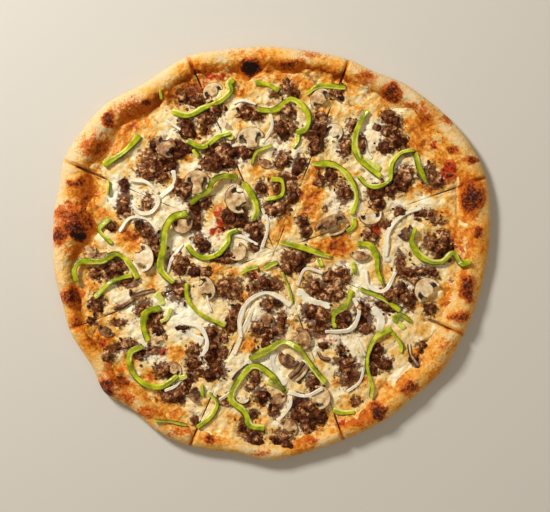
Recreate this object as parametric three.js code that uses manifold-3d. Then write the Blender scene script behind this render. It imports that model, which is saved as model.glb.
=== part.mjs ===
// A large New York-style pizza, baked, cut into eight slices that still lie together.
// Millimetres, +Z up. The origin lies under the middle of the pie's box.
//
// Each slice is two solids: a crust with a puffed, blistered rim, and the blanket of melted cheese
// on it, with the beef crumbles and the small strips that are baked into the cheese. The larger
// mushroom slices, green pepper strips and onion strips lie loose on top.
//
// Places are read off a photograph taken from straight above: [x, y] in its pixels, x to the right
// and y down. onPie() turns them into millimetres, and every other size is in millimetres.

import * as THREE from "three";
import { mergeVertices } from "three/addons/utils/BufferGeometryUtils.js";
import Module from "manifold-3d";

// ---------------------------------------------------------------- driving dimensions

const PIE_DIAMETER = 457; // mean of length and width: an 18 inch pie
const PHOTO_DIAMETER = 427; // the same, in pixels of the photograph
const PHOTO_CENTRE = { x: 271.5, y: 253.4 };
const MM_PER_PIXEL = PIE_DIAMETER / PHOTO_DIAMETER;

const GAP = 0.3; // between solids that touch
const KERF = 1.2; // width of the cuts between slices
const BASE = { thickness: 4.2, relief: 0.3 };
const RIM = { height: 17.5, swell: 1.6, crest: 0.38, widest: 7, undercut: 7 };
const CHEESE = { thickness: 3.2, relief: 0.7, lip: 1.1, reach: 0.72, fray: 0.07 };

const PEPPER = { width: 5.6, height: 4.6, step: 7.5 };
const ONION = { width: 3.8, height: 2.8, step: 8 };
const MUSHROOM = { thickness: 4.2, tilt: 6, stemShare: 0.42 };
const CRUMBLE = { lowest: 2.2, rise: 0.38, height: 7.5, sunk: 1.3, blunt: 0.55, sides: 5 };
const BAKED_DEPTH = 1.5; // how deep the cheese holds what is baked into it

// Steps of a slice: across it, then outwards along it. The rim's are shares of its width counted
// from the outer edge, the middle's are shares of the way from the tip to the rim.
const COLUMNS = 8;
const RIM_ROWS = [0.08, 0.2, RIM.crest, 0.57];
const MIDDLE_ROWS = [1, 0.84, 0.67, 0.5, 0.34, 0.18, 0];
const UNDERCUT_ANGLES = [60, 30];

// ---------------------------------------------------------------- places on the photograph

// The outer edge, clockwise from the top.
const OUTLINE = [
  [270, 46], [310, 50], [349, 59], [375, 71], [403, 82], [428, 99], [451, 119], [468, 139],
  [479, 157], [487, 178], [491, 205], [490, 245], [485, 275], [476, 308], [462, 340], [443, 371],
  [414, 398], [385, 421], [343, 441], [310, 452], [270, 461], [235, 454], [190, 447], [160, 434],
  [130, 409], [104, 393], [92, 368], [70, 333], [62, 305], [54, 275], [52, 240], [53, 212],
  [58, 190], [63, 160], [82, 129], [106, 103], [141, 84], [187, 56], [222, 49],
];

// The cuts meet here, a little off the middle, and each ends at the rim, clockwise.
const HUB = [275, 251];
const CUT_ENDS = [
  [188, 57], [349, 60], [486, 177], [466, 336], [344, 441], [189, 447], [68, 330], [62, 160],
];

// Width of the puffed rim in millimetres at an angle in degrees, anticlockwise from the right.
const RIM_WIDTHS = [
  [-175, 27], [-168, 22], [-155, 28], [-140, 31], [-115, 25], [-90, 23], [-70, 25], [-45, 34],
  [-20, 36], [5, 40], [22, 36], [45, 30], [70, 29], [90, 31], [114, 33], [140, 37], [158, 42],
  [172, 50],
];

// Blisters of the rim: [x, y, half width, half height] in pixels, and how far they rise.
const BLISTERS = [
  [75, 226, 24, 20, 4.5], [83, 186, 19, 13, 2.5], [75, 297, 15, 13, 4.5], [109, 388, 11, 12, 3.5],
  [123, 383, 11, 8, 2], [471, 198, 13, 20, 5], [478, 232, 8, 8, 2], [468, 288, 9, 18, 4],
  [458, 317, 11, 8, 2.5], [376, 411, 12, 13, 4], [408, 386, 11, 11, 3], [251, 70, 12, 10, 3],
  [393, 96, 12, 13, 2.5], [187, 434, 9, 8, 1.8], [147, 411, 11, 8, 1.8], [136, 106, 19, 13, 2.5],
  [98, 147, 17, 17, 2.5], [290, 64, 15, 8, 1.5], [440, 348, 14, 14, 2],
];

// Strips of green pepper that lie loose, by the points that each passes.
const PEPPERS = [
  [[172, 111], [188, 115], [206, 107], [222, 100], [231, 90], [229, 84], [234, 79]],
  [[257, 109], [274, 110], [292, 99], [309, 116], [305, 130], [296, 132]],
  [[368, 110], [360, 123], [355, 140], [358, 156], [367, 166], [381, 177]],
  [[359, 176], [366, 184], [377, 187], [390, 180], [392, 164], [402, 153], [415, 150]],
  [[77, 282], [74, 272], [80, 262], [102, 261], [115, 254], [124, 258], [131, 267], [138, 279]],
  [[188, 213], [174, 217], [166, 228], [163, 250], [161, 270], [174, 283]],
  [[190, 204], [198, 197], [208, 191], [213, 181], [224, 176], [238, 178]],
  [[187, 245], [193, 253], [204, 258], [219, 253], [228, 242], [229, 234], [238, 230]],
  [[312, 164], [335, 165], [348, 176], [357, 195], [352, 215]],
  [[357, 244], [369, 245], [377, 256], [378, 271], [383, 285]],
  [[143, 346], [131, 352], [130, 367], [142, 383], [160, 387], [178, 376]],
  [[186, 283], [188, 300], [202, 315], [226, 326]],
  [[249, 359], [268, 350], [284, 342], [298, 348], [313, 368], [326, 384]],
  [[265, 428], [251, 426], [244, 412], [231, 399], [243, 375], [254, 366], [270, 374], [284, 391]],
  [[392, 329], [376, 338], [369, 352], [367, 367], [372, 386], [371, 398]],
  [[415, 228], [412, 242], [423, 258], [441, 262], [453, 253], [461, 264], [469, 261]],
  [[103, 165], [124, 152], [140, 135]],
  [[186, 141], [203, 147], [218, 137], [231, 133]],
  [[161, 308], [147, 312], [143, 325], [148, 342]],
  [[280, 242], [300, 247], [331, 257]],
  [[243, 182], [252, 195], [257, 209], [253, 221]],
];

// Smaller pepper strips, baked into the cheese.
const BAKED_PEPPERS = [
  [[255, 82], [270, 85], [279, 91]],
  [[306, 94], [319, 86], [346, 87]],
  [[416, 152], [418, 164], [426, 183]],
  [[271, 179], [282, 181], [282, 195], [266, 200]],
  [[352, 290], [346, 305], [334, 315], [335, 328]],
  [[360, 289], [380, 297], [401, 311]],
  [[208, 393], [217, 403], [212, 416], [197, 428]],
  [[110, 218], [99, 229], [112, 244]],
  [[252, 165], [256, 153], [272, 145]],
  [[132, 275], [113, 281], [94, 298]],
  [[394, 322], [400, 315], [412, 322]],
];

// Strips of onion that lie loose.
const ONIONS = [
  [[130, 180], [146, 182], [158, 193]],
  [[132, 205], [140, 213], [151, 212], [158, 203], [157, 195]],
  [[119, 232], [130, 218], [146, 219], [159, 231]],
  [[422, 207], [402, 216], [389, 231], [386, 257]],
  [[291, 306], [280, 298], [266, 293], [248, 302], [240, 320], [241, 338]],
  [[182, 323], [199, 327], [207, 342], [203, 357]],
  [[354, 298], [359, 312], [351, 329], [325, 332]],
  [[366, 270], [369, 286], [384, 291], [396, 272]],
  [[297, 286], [306, 269], [323, 273]],
  [[288, 392], [305, 396], [323, 388]],
];

// Mushroom slices: [x, y, stem, width, depth, length]. The middle of the gill line, where the stem
// points in degrees anticlockwise from the right, then the cap's width and depth and the stem's
// length in pixels. The first ones lie loose.
const MUSHROOMS = [
  [250, 137, -80, 28, 10, 11], [143, 258, 185, 30, 11, 9], [197, 181, -90, 26, 11, 14],
  [238, 199, 15, 30, 13, 8], [330, 224, -65, 34, 8, 4], [369, 216, 110, 24, 11, 3],
  [429, 293, -50, 32, 17, 7], [319, 398, 190, 25, 12, 7], [206, 288, 200, 28, 9, 12],
  [182, 222, 90, 22, 12, 3], [166, 147, 30, 26, 9, 10], [321, 99, -40, 24, 10, 5],
  [301, 339, 200, 24, 10, 8],
];
const BAKED_MUSHROOMS = [
  [213, 92, -100, 20, 8, 4], [89, 251, 120, 15, 8, 6], [103, 254, 100, 20, 9, 2],
  [236, 251, 150, 20, 11, 3], [405, 231, 130, 17, 9, 3], [173, 371, -120, 18, 9, 3],
  [267, 322, -90, 16, 9, 5], [289, 358, 60, 22, 10, 3], [328, 135, 215, 20, 10, 2],
  [288, 428, 230, 22, 9, 3], [360, 254, 80, 20, 7, 3], [277, 397, 100, 20, 8, 3],
];

// Piles of beef crumbles: [x, y, length, width, heading in degrees], in pixels.
const BEEF = [
  [394, 130, 42, 17, 82], [317, 321, 30, 22, -70], [309, 413, 36, 20, -60], [111, 270, 25, 20, 60],
  [218, 156, 29, 18, 0], [319, 137, 37, 15, 75], [350, 374, 30, 17, 90], [440, 247, 31, 16, -35],
  [268, 333, 30, 14, 0], [214, 346, 44, 14, 90], [190, 97, 26, 14, 0], [187, 129, 16, 12, -60],
  [211, 114, 28, 14, 35], [239, 152, 18, 12, -30], [253, 114, 24, 14, -15], [288, 111, 16, 12, 40],
  [285, 131, 20, 16, 30], [287, 90, 20, 14, 0], [281, 160, 14, 12, 0], [166, 158, 22, 16, 0],
  [154, 171, 26, 14, 0], [183, 189, 16, 16, 0], [124, 200, 36, 11, 90], [150, 238, 36, 10, -60],
  [98, 306, 17, 12, 90], [142, 309, 16, 11, -20], [155, 324, 22, 14, -75], [122, 345, 26, 9, 20],
  [107, 355, 14, 12, 0], [145, 352, 30, 11, 15], [162, 370, 18, 11, -70], [173, 396, 28, 13, 15],
  [194, 351, 16, 12, 0], [196, 369, 28, 13, -80], [232, 320, 24, 10, 95], [231, 287, 20, 18, 0],
  [269, 285, 32, 14, 10], [272, 304, 18, 9, 0], [237, 370, 16, 10, 50], [262, 398, 13, 13, 0],
  [253, 439, 15, 14, 0], [284, 437, 22, 17, 0], [180, 263, 16, 16, 0], [195, 272, 20, 8, 0],
  [228, 258, 28, 8, 20], [196, 215, 24, 11, 90], [202, 244, 14, 12, 0], [236, 218, 20, 14, -20],
  [256, 235, 28, 11, -85], [262, 190, 14, 11, 90], [276, 208, 22, 12, 0], [293, 187, 26, 14, 85],
  [330, 175, 16, 11, 90], [344, 194, 17, 13, 80], [304, 226, 22, 13, 90], [300, 256, 30, 16, 0],
  [402, 179, 32, 16, 40], [378, 197, 20, 12, 10], [371, 238, 14, 12, 0], [400, 261, 20, 8, 100],
  [437, 181, 14, 11, 0], [418, 274, 38, 11, -5], [315, 288, 17, 16, 0], [340, 275, 15, 14, 0],
  [336, 290, 20, 14, 0], [344, 320, 17, 14, 0], [365, 316, 30, 16, 90], [399, 297, 28, 15, -10],
  [375, 361, 24, 13, 75], [386, 365, 14, 13, 0],
];

// ---------------------------------------------------------------- materials

const finish = (color, roughness) => new THREE.MeshStandardMaterial({ color, roughness, metalness: 0 });
const MATERIALS = {
  crust: finish("#d9a860", 0.85),
  cheese: finish("#ead3a0", 0.45),
  mushroom: finish("#cdbb94", 0.65),
  pepper: finish("#93a82c", 0.35),
  onion: finish("#e8e2d0", 0.35),
};

// ---------------------------------------------------------------- small helpers

const wasm = await Module();
wasm.setup();

const radians = THREE.MathUtils.degToRad;
const clamp = THREE.MathUtils.clamp;
const lerp = THREE.MathUtils.lerp;
const direction = (angle) => new THREE.Vector2(Math.cos(angle), Math.sin(angle));
const onPie = ([x, y]) => {
  const right = (x - PHOTO_CENTRE.x) * MM_PER_PIXEL;
  const up = (PHOTO_CENTRE.y - y) * MM_PER_PIXEL;
  return new THREE.Vector2(right, up);
};

// A repeatable run of numbers from 0 to 1, the same each time for the same seed.
function seededDraw(seed) {
  let state = seed * 9301 + 49297;
  return () => {
    state = (state * 16807) % 2147483647;
    return state / 2147483647;
  };
}

// Soft uneven waves from -1 to 1 over the pie, about `size` millimetres from hump to hump.
function waves(x, y, size) {
  const k = (2 * Math.PI) / size;
  const a = Math.sin(k * (0.9 * x + 0.3 * y) + 1.3);
  const b = Math.sin(k * (-0.4 * x + 1.1 * y) + 4.1);
  const c = Math.sin(k * (0.7 * x - 0.8 * y) + 2.2);
  return (a + b + c) / 3;
}

// ---------------------------------------------------------------- the surface of the pie

const edge = new THREE.CatmullRomCurve3(
  OUTLINE.map((place) => new THREE.Vector3(...onPie(place).toArray(), 0)),
  true,
  "centripetal",
).getPoints(720);
const edgeByAngle = edge
  .map((p) => ({ angle: Math.atan2(p.y, p.x), radius: Math.hypot(p.x, p.y) }))
  .sort((a, b) => a.angle - b.angle);

// Distance from the origin to the outer edge at an angle.
function outlineRadius(angle) {
  const wrapped = Math.atan2(Math.sin(angle), Math.cos(angle));
  let low = 0;
  let high = edgeByAngle.length - 1;
  while (high - low > 1) {
    const middle = (low + high) >> 1;
    if (edgeByAngle[middle].angle < wrapped) low = middle;
    else high = middle;
  }
  return edgeByAngle[low].radius;
}

// Width of the rim at an angle, eased from one measured width to the next.
function rimWidth(angle) {
  const degrees = THREE.MathUtils.radToDeg(Math.atan2(Math.sin(angle), Math.cos(angle)));
  const last = RIM_WIDTHS.length - 1;
  const next = RIM_WIDTHS.findIndex(([at]) => at > degrees);
  const [fromAngle, fromWidth] = RIM_WIDTHS[next > 0 ? next - 1 : last];
  const [toAngle, toWidth] = RIM_WIDTHS[next > 0 ? next : 0];
  const turn = (a, b) => (a - b + 720) % 360;
  const share = turn(degrees, fromAngle) / turn(toAngle, fromAngle);
  return lerp(fromWidth, toWidth, THREE.MathUtils.smoothstep(share, 0, 1));
}

// Height of the blisters at a place: each is a low dome.
function blisterHeight(x, y) {
  let height = 0;
  for (const [px, py, halfWidth, halfHeight, rise] of BLISTERS) {
    const middle = onPie([px, py]);
    const across = (x - middle.x) / (halfWidth * MM_PER_PIXEL);
    const along = (y - middle.y) / (halfHeight * MM_PER_PIXEL);
    height += rise * Math.max(0, 1 - across * across - along * along);
  }
  return height;
}

// Height of the crust's upper side: a flat base, and a rim that rises steeply at the outer edge
// to its crest and eases down to the base.
function crustTop(x, y) {
  const angle = Math.atan2(y, x);
  const share = clamp((outlineRadius(angle) - Math.hypot(x, y)) / rimWidth(angle), 0, 1);
  const base = BASE.thickness + BASE.relief * waves(x, y, 60);
  const crest = RIM.height + RIM.swell * waves(x, y, 75);
  const outside = Math.sqrt(1 - Math.max(0, 1 - share / RIM.crest) ** 2);
  const inside = (1 + Math.cos((Math.PI * (share - RIM.crest)) / (1 - RIM.crest))) / 2;
  const rim = share < RIM.crest ? lerp(RIM.widest, crest, outside) : lerp(base, crest, inside);
  return rim + blisterHeight(x, y) * clamp(share * 6, 0, 1);
}

// Height of the melted cheese's upper side.
function cheeseTop(x, y) {
  const relief = waves(x, y, 24) + 0.6 * waves(y, x, 11);
  return crustTop(x, y) + GAP + CHEESE.thickness + CHEESE.relief * relief;
}

// ---------------------------------------------------------------- solids

// A manifold solid from positions and faces. Vertices that meet are merged, faces that shrink to
// a line are dropped, and a solid that came out inside out is turned.
function solidFrom(positions, faces) {
  const geometry = new THREE.BufferGeometry();
  geometry.setAttribute("position", new THREE.Float32BufferAttribute(positions, 3));
  geometry.setIndex(faces.flat());
  const merged = mergeVertices(geometry, 1e-3);
  const index = merged.index.array;
  const kept = [];
  for (let i = 0; i < index.length; i += 3) {
    const [a, b, c] = index.slice(i, i + 3);
    if (a !== b && b !== c && c !== a) kept.push([a, b, c]);
  }
  const make = (triangles) =>
    new wasm.Manifold(
      new wasm.Mesh({
        numProp: 3,
        vertProperties: merged.attributes.position.array,
        triVerts: new Uint32Array(triangles.flat()),
      }),
    );
  const solid = make(kept);
  return solid.volume() > 0 ? solid : make(kept.map(([a, b, c]) => [a, c, b]));
}

// The manifold solid of a three.js geometry.
function solidOfGeometry(geometry) {
  const flat = geometry.index ? geometry.toNonIndexed() : geometry;
  const count = flat.attributes.position.count;
  const faces = [];
  for (let i = 0; i < count; i += 3) faces.push([i, i + 1, i + 2]);
  return solidFrom(Array.from(flat.attributes.position.array), faces);
}

// The solid between rings of equally many points, with both ends closed. `profile` is the ring's
// shape on its own plane, which gives the faces of the ends.
function loft(rings, profile) {
  const count = profile.length;
  const faces = [];
  for (let ring = 0; ring + 1 < rings.length; ring++) {
    for (let i = 0; i < count; i++) {
      const a = ring * count + i;
      const b = ring * count + ((i + 1) % count);
      faces.push([a, b, b + count], [a, b + count, a + count]);
    }
  }
  const turned = THREE.ShapeUtils.isClockWise(profile);
  const ends = THREE.ShapeUtils.triangulateShape(profile, []);
  const last = (rings.length - 1) * count;
  for (const [i, j, k] of ends) {
    const clockwise = THREE.ShapeUtils.isClockWise([profile[i], profile[j], profile[k]]);
    const [first, second] = clockwise === turned ? [j, k] : [k, j];
    faces.push([i, second, first], [last + i, last + first, last + second]);
  }
  return solidFrom(rings.flat().flatMap((point) => point.toArray()), faces);
}

// The named mesh of a solid.
function meshOf(solid, name, material) {
  const { vertProperties, triVerts } = solid.getMesh();
  const geometry = new THREE.BufferGeometry();
  geometry.setAttribute("position", new THREE.BufferAttribute(vertProperties, 3));
  geometry.setIndex(new THREE.BufferAttribute(triVerts, 1));
  geometry.computeVertexNormals();
  const mesh = new THREE.Mesh(geometry, material);
  mesh.name = name;
  return mesh;
}

// The largest body of a solid: scraps that a cut leaves are dropped.
const mainBody = (solid) => solid.decompose().sort((a, b) => b.volume() - a.volume())[0];

// ---------------------------------------------------------------- slices

const hub = onPie(HUB);
const cutAngles = CUT_ENDS.map((end) => onPie(end).sub(hub).angle());

// The wedge of slice `i`: its tip, and the angles of its two sides, half a kerf off the cuts.
function wedge(i) {
  const from = cutAngles[i];
  const to = from - ((from - cutAngles[(i + 1) % cutAngles.length] + 2 * Math.PI) % (2 * Math.PI));
  const inset = KERF / 2 / Math.sin((from - to) / 2);
  const tip = hub.clone().addScaledVector(direction((from + to) / 2), inset);
  return { from, to, tip };
}

// Length of the ray from a slice's tip to the outer edge, found by stepping to it.
function rayLength(tip, angle) {
  let length = PIE_DIAMETER / 2;
  for (let step = 0; step < 12; step++) {
    const end = tip.clone().addScaledVector(direction(angle), length);
    length += outlineRadius(end.angle()) - end.length();
  }
  return length;
}

// Crust and bare cheese of slice `i`. Both are lofted across the slice from sections that run from
// the tip to the rim, and both use the same places, so their facets lie parallel.
function sliceSolids(i) {
  const { from, to, tip } = wedge(i);
  const crustRings = [];
  const cheeseRings = [];
  const profiles = { crust: null, cheese: null };
  for (let column = 0; column <= COLUMNS; column++) {
    const ray = direction(lerp(from, to, column / COLUMNS));
    const place = (along) => tip.clone().addScaledVector(ray, along);
    const length = rayLength(tip, lerp(from, to, column / COLUMNS));
    const edgePlace = place(length);
    const width = rimWidth(edgePlace.angle());
    const reach = CHEESE.reach + CHEESE.fray * waves(edgePlace.x, edgePlace.y, 37);

    const shared = [length - reach * width];
    MIDDLE_ROWS.forEach((share) => shared.push(share * (length - width)));
    const top = (along) => new THREE.Vector2(along, crustTop(place(along).x, place(along).y));

    const crust = [new THREE.Vector2(0, 0), new THREE.Vector2(length - RIM.undercut, 0)];
    for (const angle of UNDERCUT_ANGLES) {
      const inwards = RIM.undercut * (1 - Math.cos(radians(angle)));
      const height = RIM.widest * (1 - Math.sin(radians(angle)));
      crust.push(new THREE.Vector2(length - inwards, height));
    }
    crust.push(new THREE.Vector2(length, RIM.widest));
    RIM_ROWS.forEach((share) => crust.push(top(length - share * width)));
    shared.forEach((along) => crust.push(top(along)));

    const under = shared.map((along) => top(along).add(new THREE.Vector2(0, GAP)));
    const over = shared.map((along, row) => {
      const { x, y } = place(along);
      return new THREE.Vector2(along, row ? cheeseTop(x, y) : under[0].y + CHEESE.lip);
    });
    const cheese = [...under, ...over.toReversed()];

    const stand = (profile) => profile.map((p) => new THREE.Vector3(...place(p.x).toArray(), p.y));
    crustRings.push(stand(crust));
    cheeseRings.push(stand(cheese));
    profiles.crust = crust;
    profiles.cheese = cheese;
  }
  return { crust: loft(crustRings, profiles.crust), cheese: loft(cheeseRings, profiles.cheese) };
}

// The upright prism over slice `i`, which keeps what is baked into it off the cuts.
function slicePrism(i) {
  const { from, to, tip } = wedge(i);
  const corner = (angle) => tip.clone().addScaledVector(direction(angle), PIE_DIAMETER);
  const shape = new THREE.Shape([tip, corner(to), corner(from)]);
  const geometry = new THREE.ExtrudeGeometry(shape, { depth: 4 * RIM.height, bevelEnabled: false });
  return solidOfGeometry(geometry);
}

// Which slice a place lies on.
function sliceAt(point) {
  const angle = point.clone().sub(hub).angle();
  const turn = (a, b) => (a - b + 4 * Math.PI) % (2 * Math.PI);
  const offsets = cutAngles.map((cut) => turn(cut, angle));
  return offsets.indexOf(Math.min(...offsets));
}

// ---------------------------------------------------------------- toppings

// A strip along `places`, a band `width` across and `height` high with a ridged top. `restAt` gives
// the height of what it lies on: each step rests on the highest place under it.
function strip(places, { width, height, step }, restAt) {
  const points = places.map((place) => new THREE.Vector3(...onPie(place).toArray(), 0));
  const path = new THREE.CatmullRomCurve3(points, false, "centripetal");
  const steps = Math.max(3, Math.round(path.getLength() / step));
  const half = width / 2;
  const profile = [
    new THREE.Vector2(-half, height * 0.5),
    new THREE.Vector2(-half * 0.6, 0),
    new THREE.Vector2(half * 0.6, 0),
    new THREE.Vector2(half, height * 0.5),
    new THREE.Vector2(half * 0.3, height),
  ];
  const rings = path.getSpacedPoints(steps).map((p, i) => {
    const ahead = path.getTangentAt(i / steps);
    const side = new THREE.Vector3(-ahead.y, ahead.x, 0).normalize();
    const around = [-0.4, 0, 0.4].flatMap((a) =>
      [-0.6, 0, 0.6].map((b) => {
        const q = p.clone().addScaledVector(ahead, a * step).addScaledVector(side, b * half);
        return restAt(q.x, q.y);
      }),
    );
    const share = i === 0 || i === steps ? 0.75 : 1;
    return profile.map((corner) => {
      const point = p.clone().addScaledVector(side, corner.x * share);
      return point.setZ(Math.max(...around) + corner.y * share);
    });
  });
  return loft(rings, profile);
}

// A slice through a mushroom, lying flat with the middle of its gill line at the origin and its
// stem towards +X. The cap is half an ellipse whose lips curl in a little beside the stem.
function mushroomSlice(width, depth, stem) {
  const half = width / 2;
  const stemHalf = half * MUSHROOM.stemShare;
  const lip = Math.PI * 0.42;
  const shape = new THREE.Shape();
  shape.moveTo(stem, -stemHalf);
  shape.lineTo(stem, stemHalf);
  shape.lineTo(0, stemHalf);
  shape.absellipse(0, 0, depth, half, lip, 2 * Math.PI - lip, false, 0);
  shape.lineTo(0, -stemHalf);
  const options = { depth: MUSHROOM.thickness, bevelEnabled: false, curveSegments: 7 };
  return new THREE.ExtrudeGeometry(shape, options);
}

// A mushroom slice in its place, leaning to one side by `lean` degrees.
function placedMushroom([x, y, stem, ...sizes], height, lean) {
  const place = onPie([x, y]);
  const geometry = mushroomSlice(...sizes.map((size) => size * MM_PER_PIXEL));
  geometry.rotateX(radians(lean));
  geometry.rotateZ(radians(stem));
  geometry.translate(place.x, place.y, height);
  return solidOfGeometry(geometry);
}

// One beef crumble: an uneven lump with a blunt top, `length` by `width` across.
function crumble(place, length, width, heading, foot, draw) {
  const height = Math.min(CRUMBLE.height, CRUMBLE.lowest + CRUMBLE.rise * width);
  const geometry = new THREE.CylinderGeometry(CRUMBLE.blunt, 1, 1, CRUMBLE.sides, 1);
  geometry.rotateX(Math.PI / 2);
  const merged = mergeVertices(geometry.deleteAttribute("normal").deleteAttribute("uv"), 1e-4);
  const position = merged.attributes.position;
  for (let i = 0; i < position.count; i++) {
    const swell = 0.84 + 0.32 * draw();
    const x = position.getX(i) * swell;
    const y = position.getY(i) * swell;
    const upper = position.getZ(i) > 0 ? swell * (1 - 0.3 * Math.hypot(x, y)) : 0;
    position.setXYZ(i, (x * length) / 2, (y * width) / 2, upper * height);
  }
  merged.rotateZ(heading);
  merged.translate(place.x, place.y, foot);
  return solidOfGeometry(merged);
}

// A pile of crumbles: one lump where it is round, and a row of lumps that run together where it
// is long.
function pile([x, y, length, width, heading]) {
  const draw = seededDraw(x + y);
  const turn = radians(heading);
  const long = length * MM_PER_PIXEL;
  const wide = width * MM_PER_PIXEL;
  const lumps = clamp(Math.floor((0.55 * length) / width), 1, 2);
  const lumpLong = lumps === 1 ? long : (1.4 * long) / lumps;
  const solids = Array.from({ length: lumps }, (_, i) => {
    const share = lumps === 1 ? 0 : i / (lumps - 1) - 0.5;
    const place = onPie([x, y]).addScaledVector(direction(turn), share * (long - lumpLong));
    place.addScaledVector(direction(turn + Math.PI / 2), (draw() - 0.5) * 0.12 * wide);
    const foot = cheeseTop(place.x, place.y) - CRUMBLE.sunk;
    return crumble(place, lumpLong, wide * (0.92 + 0.16 * draw()), turn, foot, draw);
  });
  return solids.reduce((all, one) => all.add(one));
}

// ---------------------------------------------------------------- assembly

const pizza = new THREE.Group();
const placed = []; // what later pieces rest on: solid, mesh and box

function add(solid, name, material) {
  const mesh = meshOf(solid, name, material);
  pizza.add(mesh);
  placed.push({ solid, mesh, box: new THREE.Box3().setFromObject(mesh) });
}

// Height of what already lies at a place.
const caster = new THREE.Raycaster();
function heightAt(x, y) {
  const above = new THREE.Vector3(x, y, 10 * RIM.height);
  caster.set(above, new THREE.Vector3(0, 0, -1));
  const near = placed.filter(
    ({ box }) => box.min.x <= x && box.max.x >= x && box.min.y <= y && box.max.y >= y,
  );
  const hits = caster.intersectObjects(near.map(({ mesh }) => mesh), false);
  return hits.length ? hits[0].point.z : 0;
}

// A loose piece, lifted until it is clear of everything placed before it.
function settle(solid) {
  const low = solid.boundingBox();
  const near = placed.filter(
    ({ box: { min, max } }) =>
      min.x < low.max[0] && max.x > low.min[0] && min.y < low.max[1] && max.y > low.min[1],
  );
  const touches = (raised) => near.some(({ solid: under }) => under.intersect(raised).volume() > 0);
  let raised = solid;
  while (touches(raised)) raised = raised.translate([0, 0, GAP]);
  return raised.translate([0, 0, GAP]);
}

// Everything that is baked into slice `i`, cut back to the slice's sides.
function bakedInto(i) {
  const here = (place) => sliceAt(onPie(place)) === i;
  const held = (x, y) => cheeseTop(x, y) - BAKED_DEPTH;
  const beef = BEEF.filter((heap) => here(heap)).map(pile);
  const peppers = BAKED_PEPPERS.filter((places) => here(places[1])).map((places) =>
    strip(places, PEPPER, held),
  );
  const mushrooms = BAKED_MUSHROOMS.filter((mushroom) => here(mushroom)).map((mushroom) => {
    const { x, y } = onPie(mushroom);
    return placedMushroom(mushroom, held(x, y), 0);
  });
  return [...beef, ...peppers, ...mushrooms];
}

for (let i = 0; i < CUT_ENDS.length; i++) {
  const { crust, cheese } = sliceSolids(i);
  const sides = slicePrism(i);
  const keptClear = crust.translate([0, 0, GAP + CHEESE.thickness / 2]);
  const baked = bakedInto(i).map((piece) => piece.intersect(sides).subtract(keptClear));
  add(crust, `crust_${i + 1}`, MATERIALS.crust);
  add(mainBody(baked.reduce((all, one) => all.add(one), cheese)), `cheese_${i + 1}`, MATERIALS.cheese);
}

MUSHROOMS.forEach((mushroom, i) => {
  const lean = MUSHROOM.tilt * (i % 2 ? 1 : -1);
  const { x, y } = onPie(mushroom);
  const piece = placedMushroom(mushroom, heightAt(x, y), lean);
  add(settle(piece), `mushroom_${i + 1}`, MATERIALS.mushroom);
});

PEPPERS.forEach((places, i) => {
  add(settle(strip(places, PEPPER, heightAt)), `pepper_${i + 1}`, MATERIALS.pepper);
});

ONIONS.forEach((places, i) => {
  add(settle(strip(places, ONION, heightAt)), `onion_${i + 1}`, MATERIALS.onion);
});

// The origin goes under the middle of the box.
const box = new THREE.Box3().setFromObject(pizza);
const middle = box.getCenter(new THREE.Vector3());
pizza.position.set(-middle.x, -middle.y, -box.min.z);

export default pizza;
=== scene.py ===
"""A large New York-style pizza, baked and cut into eight slices that still lie together.

Metres, in the frame of the solids: +Z up, the origin under the middle of the pie. Each slice is a
crust and a blanket of melted cheese, both worked out on a grid that runs across the slice and
from its tip to the rim. Beef, mushroom slices, and strips of green pepper and onion lie on top.

Places are read off a photograph taken from straight above: x and y in its pixels, x to the right
and y down. on_pie() turns them into metres.
"""

import math

import bmesh
import bpy
import numpy as np
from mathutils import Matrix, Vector
from mathutils.bvhtree import BVHTree


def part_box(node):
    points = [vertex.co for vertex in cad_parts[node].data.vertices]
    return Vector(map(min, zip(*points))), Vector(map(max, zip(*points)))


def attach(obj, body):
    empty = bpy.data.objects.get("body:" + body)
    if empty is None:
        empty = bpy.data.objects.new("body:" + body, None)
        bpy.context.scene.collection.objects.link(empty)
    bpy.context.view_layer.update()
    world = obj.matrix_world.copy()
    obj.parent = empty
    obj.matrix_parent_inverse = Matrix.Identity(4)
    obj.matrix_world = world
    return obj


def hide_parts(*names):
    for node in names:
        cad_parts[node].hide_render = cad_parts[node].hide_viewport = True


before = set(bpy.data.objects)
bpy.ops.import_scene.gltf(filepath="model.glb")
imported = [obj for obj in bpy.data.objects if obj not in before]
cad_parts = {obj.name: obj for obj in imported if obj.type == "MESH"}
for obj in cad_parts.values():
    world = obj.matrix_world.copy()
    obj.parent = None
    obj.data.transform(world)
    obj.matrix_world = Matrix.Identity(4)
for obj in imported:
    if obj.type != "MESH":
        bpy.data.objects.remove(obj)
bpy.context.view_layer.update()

# ---- sizes, the same as the solids'

MM = 0.001
PIXEL = 457 * MM / 427
PHOTO_SIZE = [550, 512]
PHOTO_CENTRE = np.array([271.5, 253.4])

KERF = 1.2 * MM
BASE_THICKNESS = 4.2 * MM
BASE_RELIEF = 0.3 * MM
RIM_HEIGHT = 17.5 * MM
RIM_SWELL = 1.6 * MM
RIM_CREST = 0.38
RIM_WIDEST = 7 * MM
RIM_UNDERCUT = 7 * MM
# The outer side's pallor round PALE_SIDE is partly a lighter bake and partly painted light on the
# side facing the key lamp.
PALE_SIDE = 120  # degrees: where the rim's outer side is palest
BROWN_SIDE = 130  # degrees: where its inner slope and the cheese beside it are brownest
CHEESE_THICKNESS = 3.2 * MM
CHEESE_RELIEF = 0.7 * MM
MUSHROOM_THICKNESS = 4.2 * MM
MUSHROOM_TILT = 6
MUSHROOM_STEM = 0.42

# ---- sizes of this script's own

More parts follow.
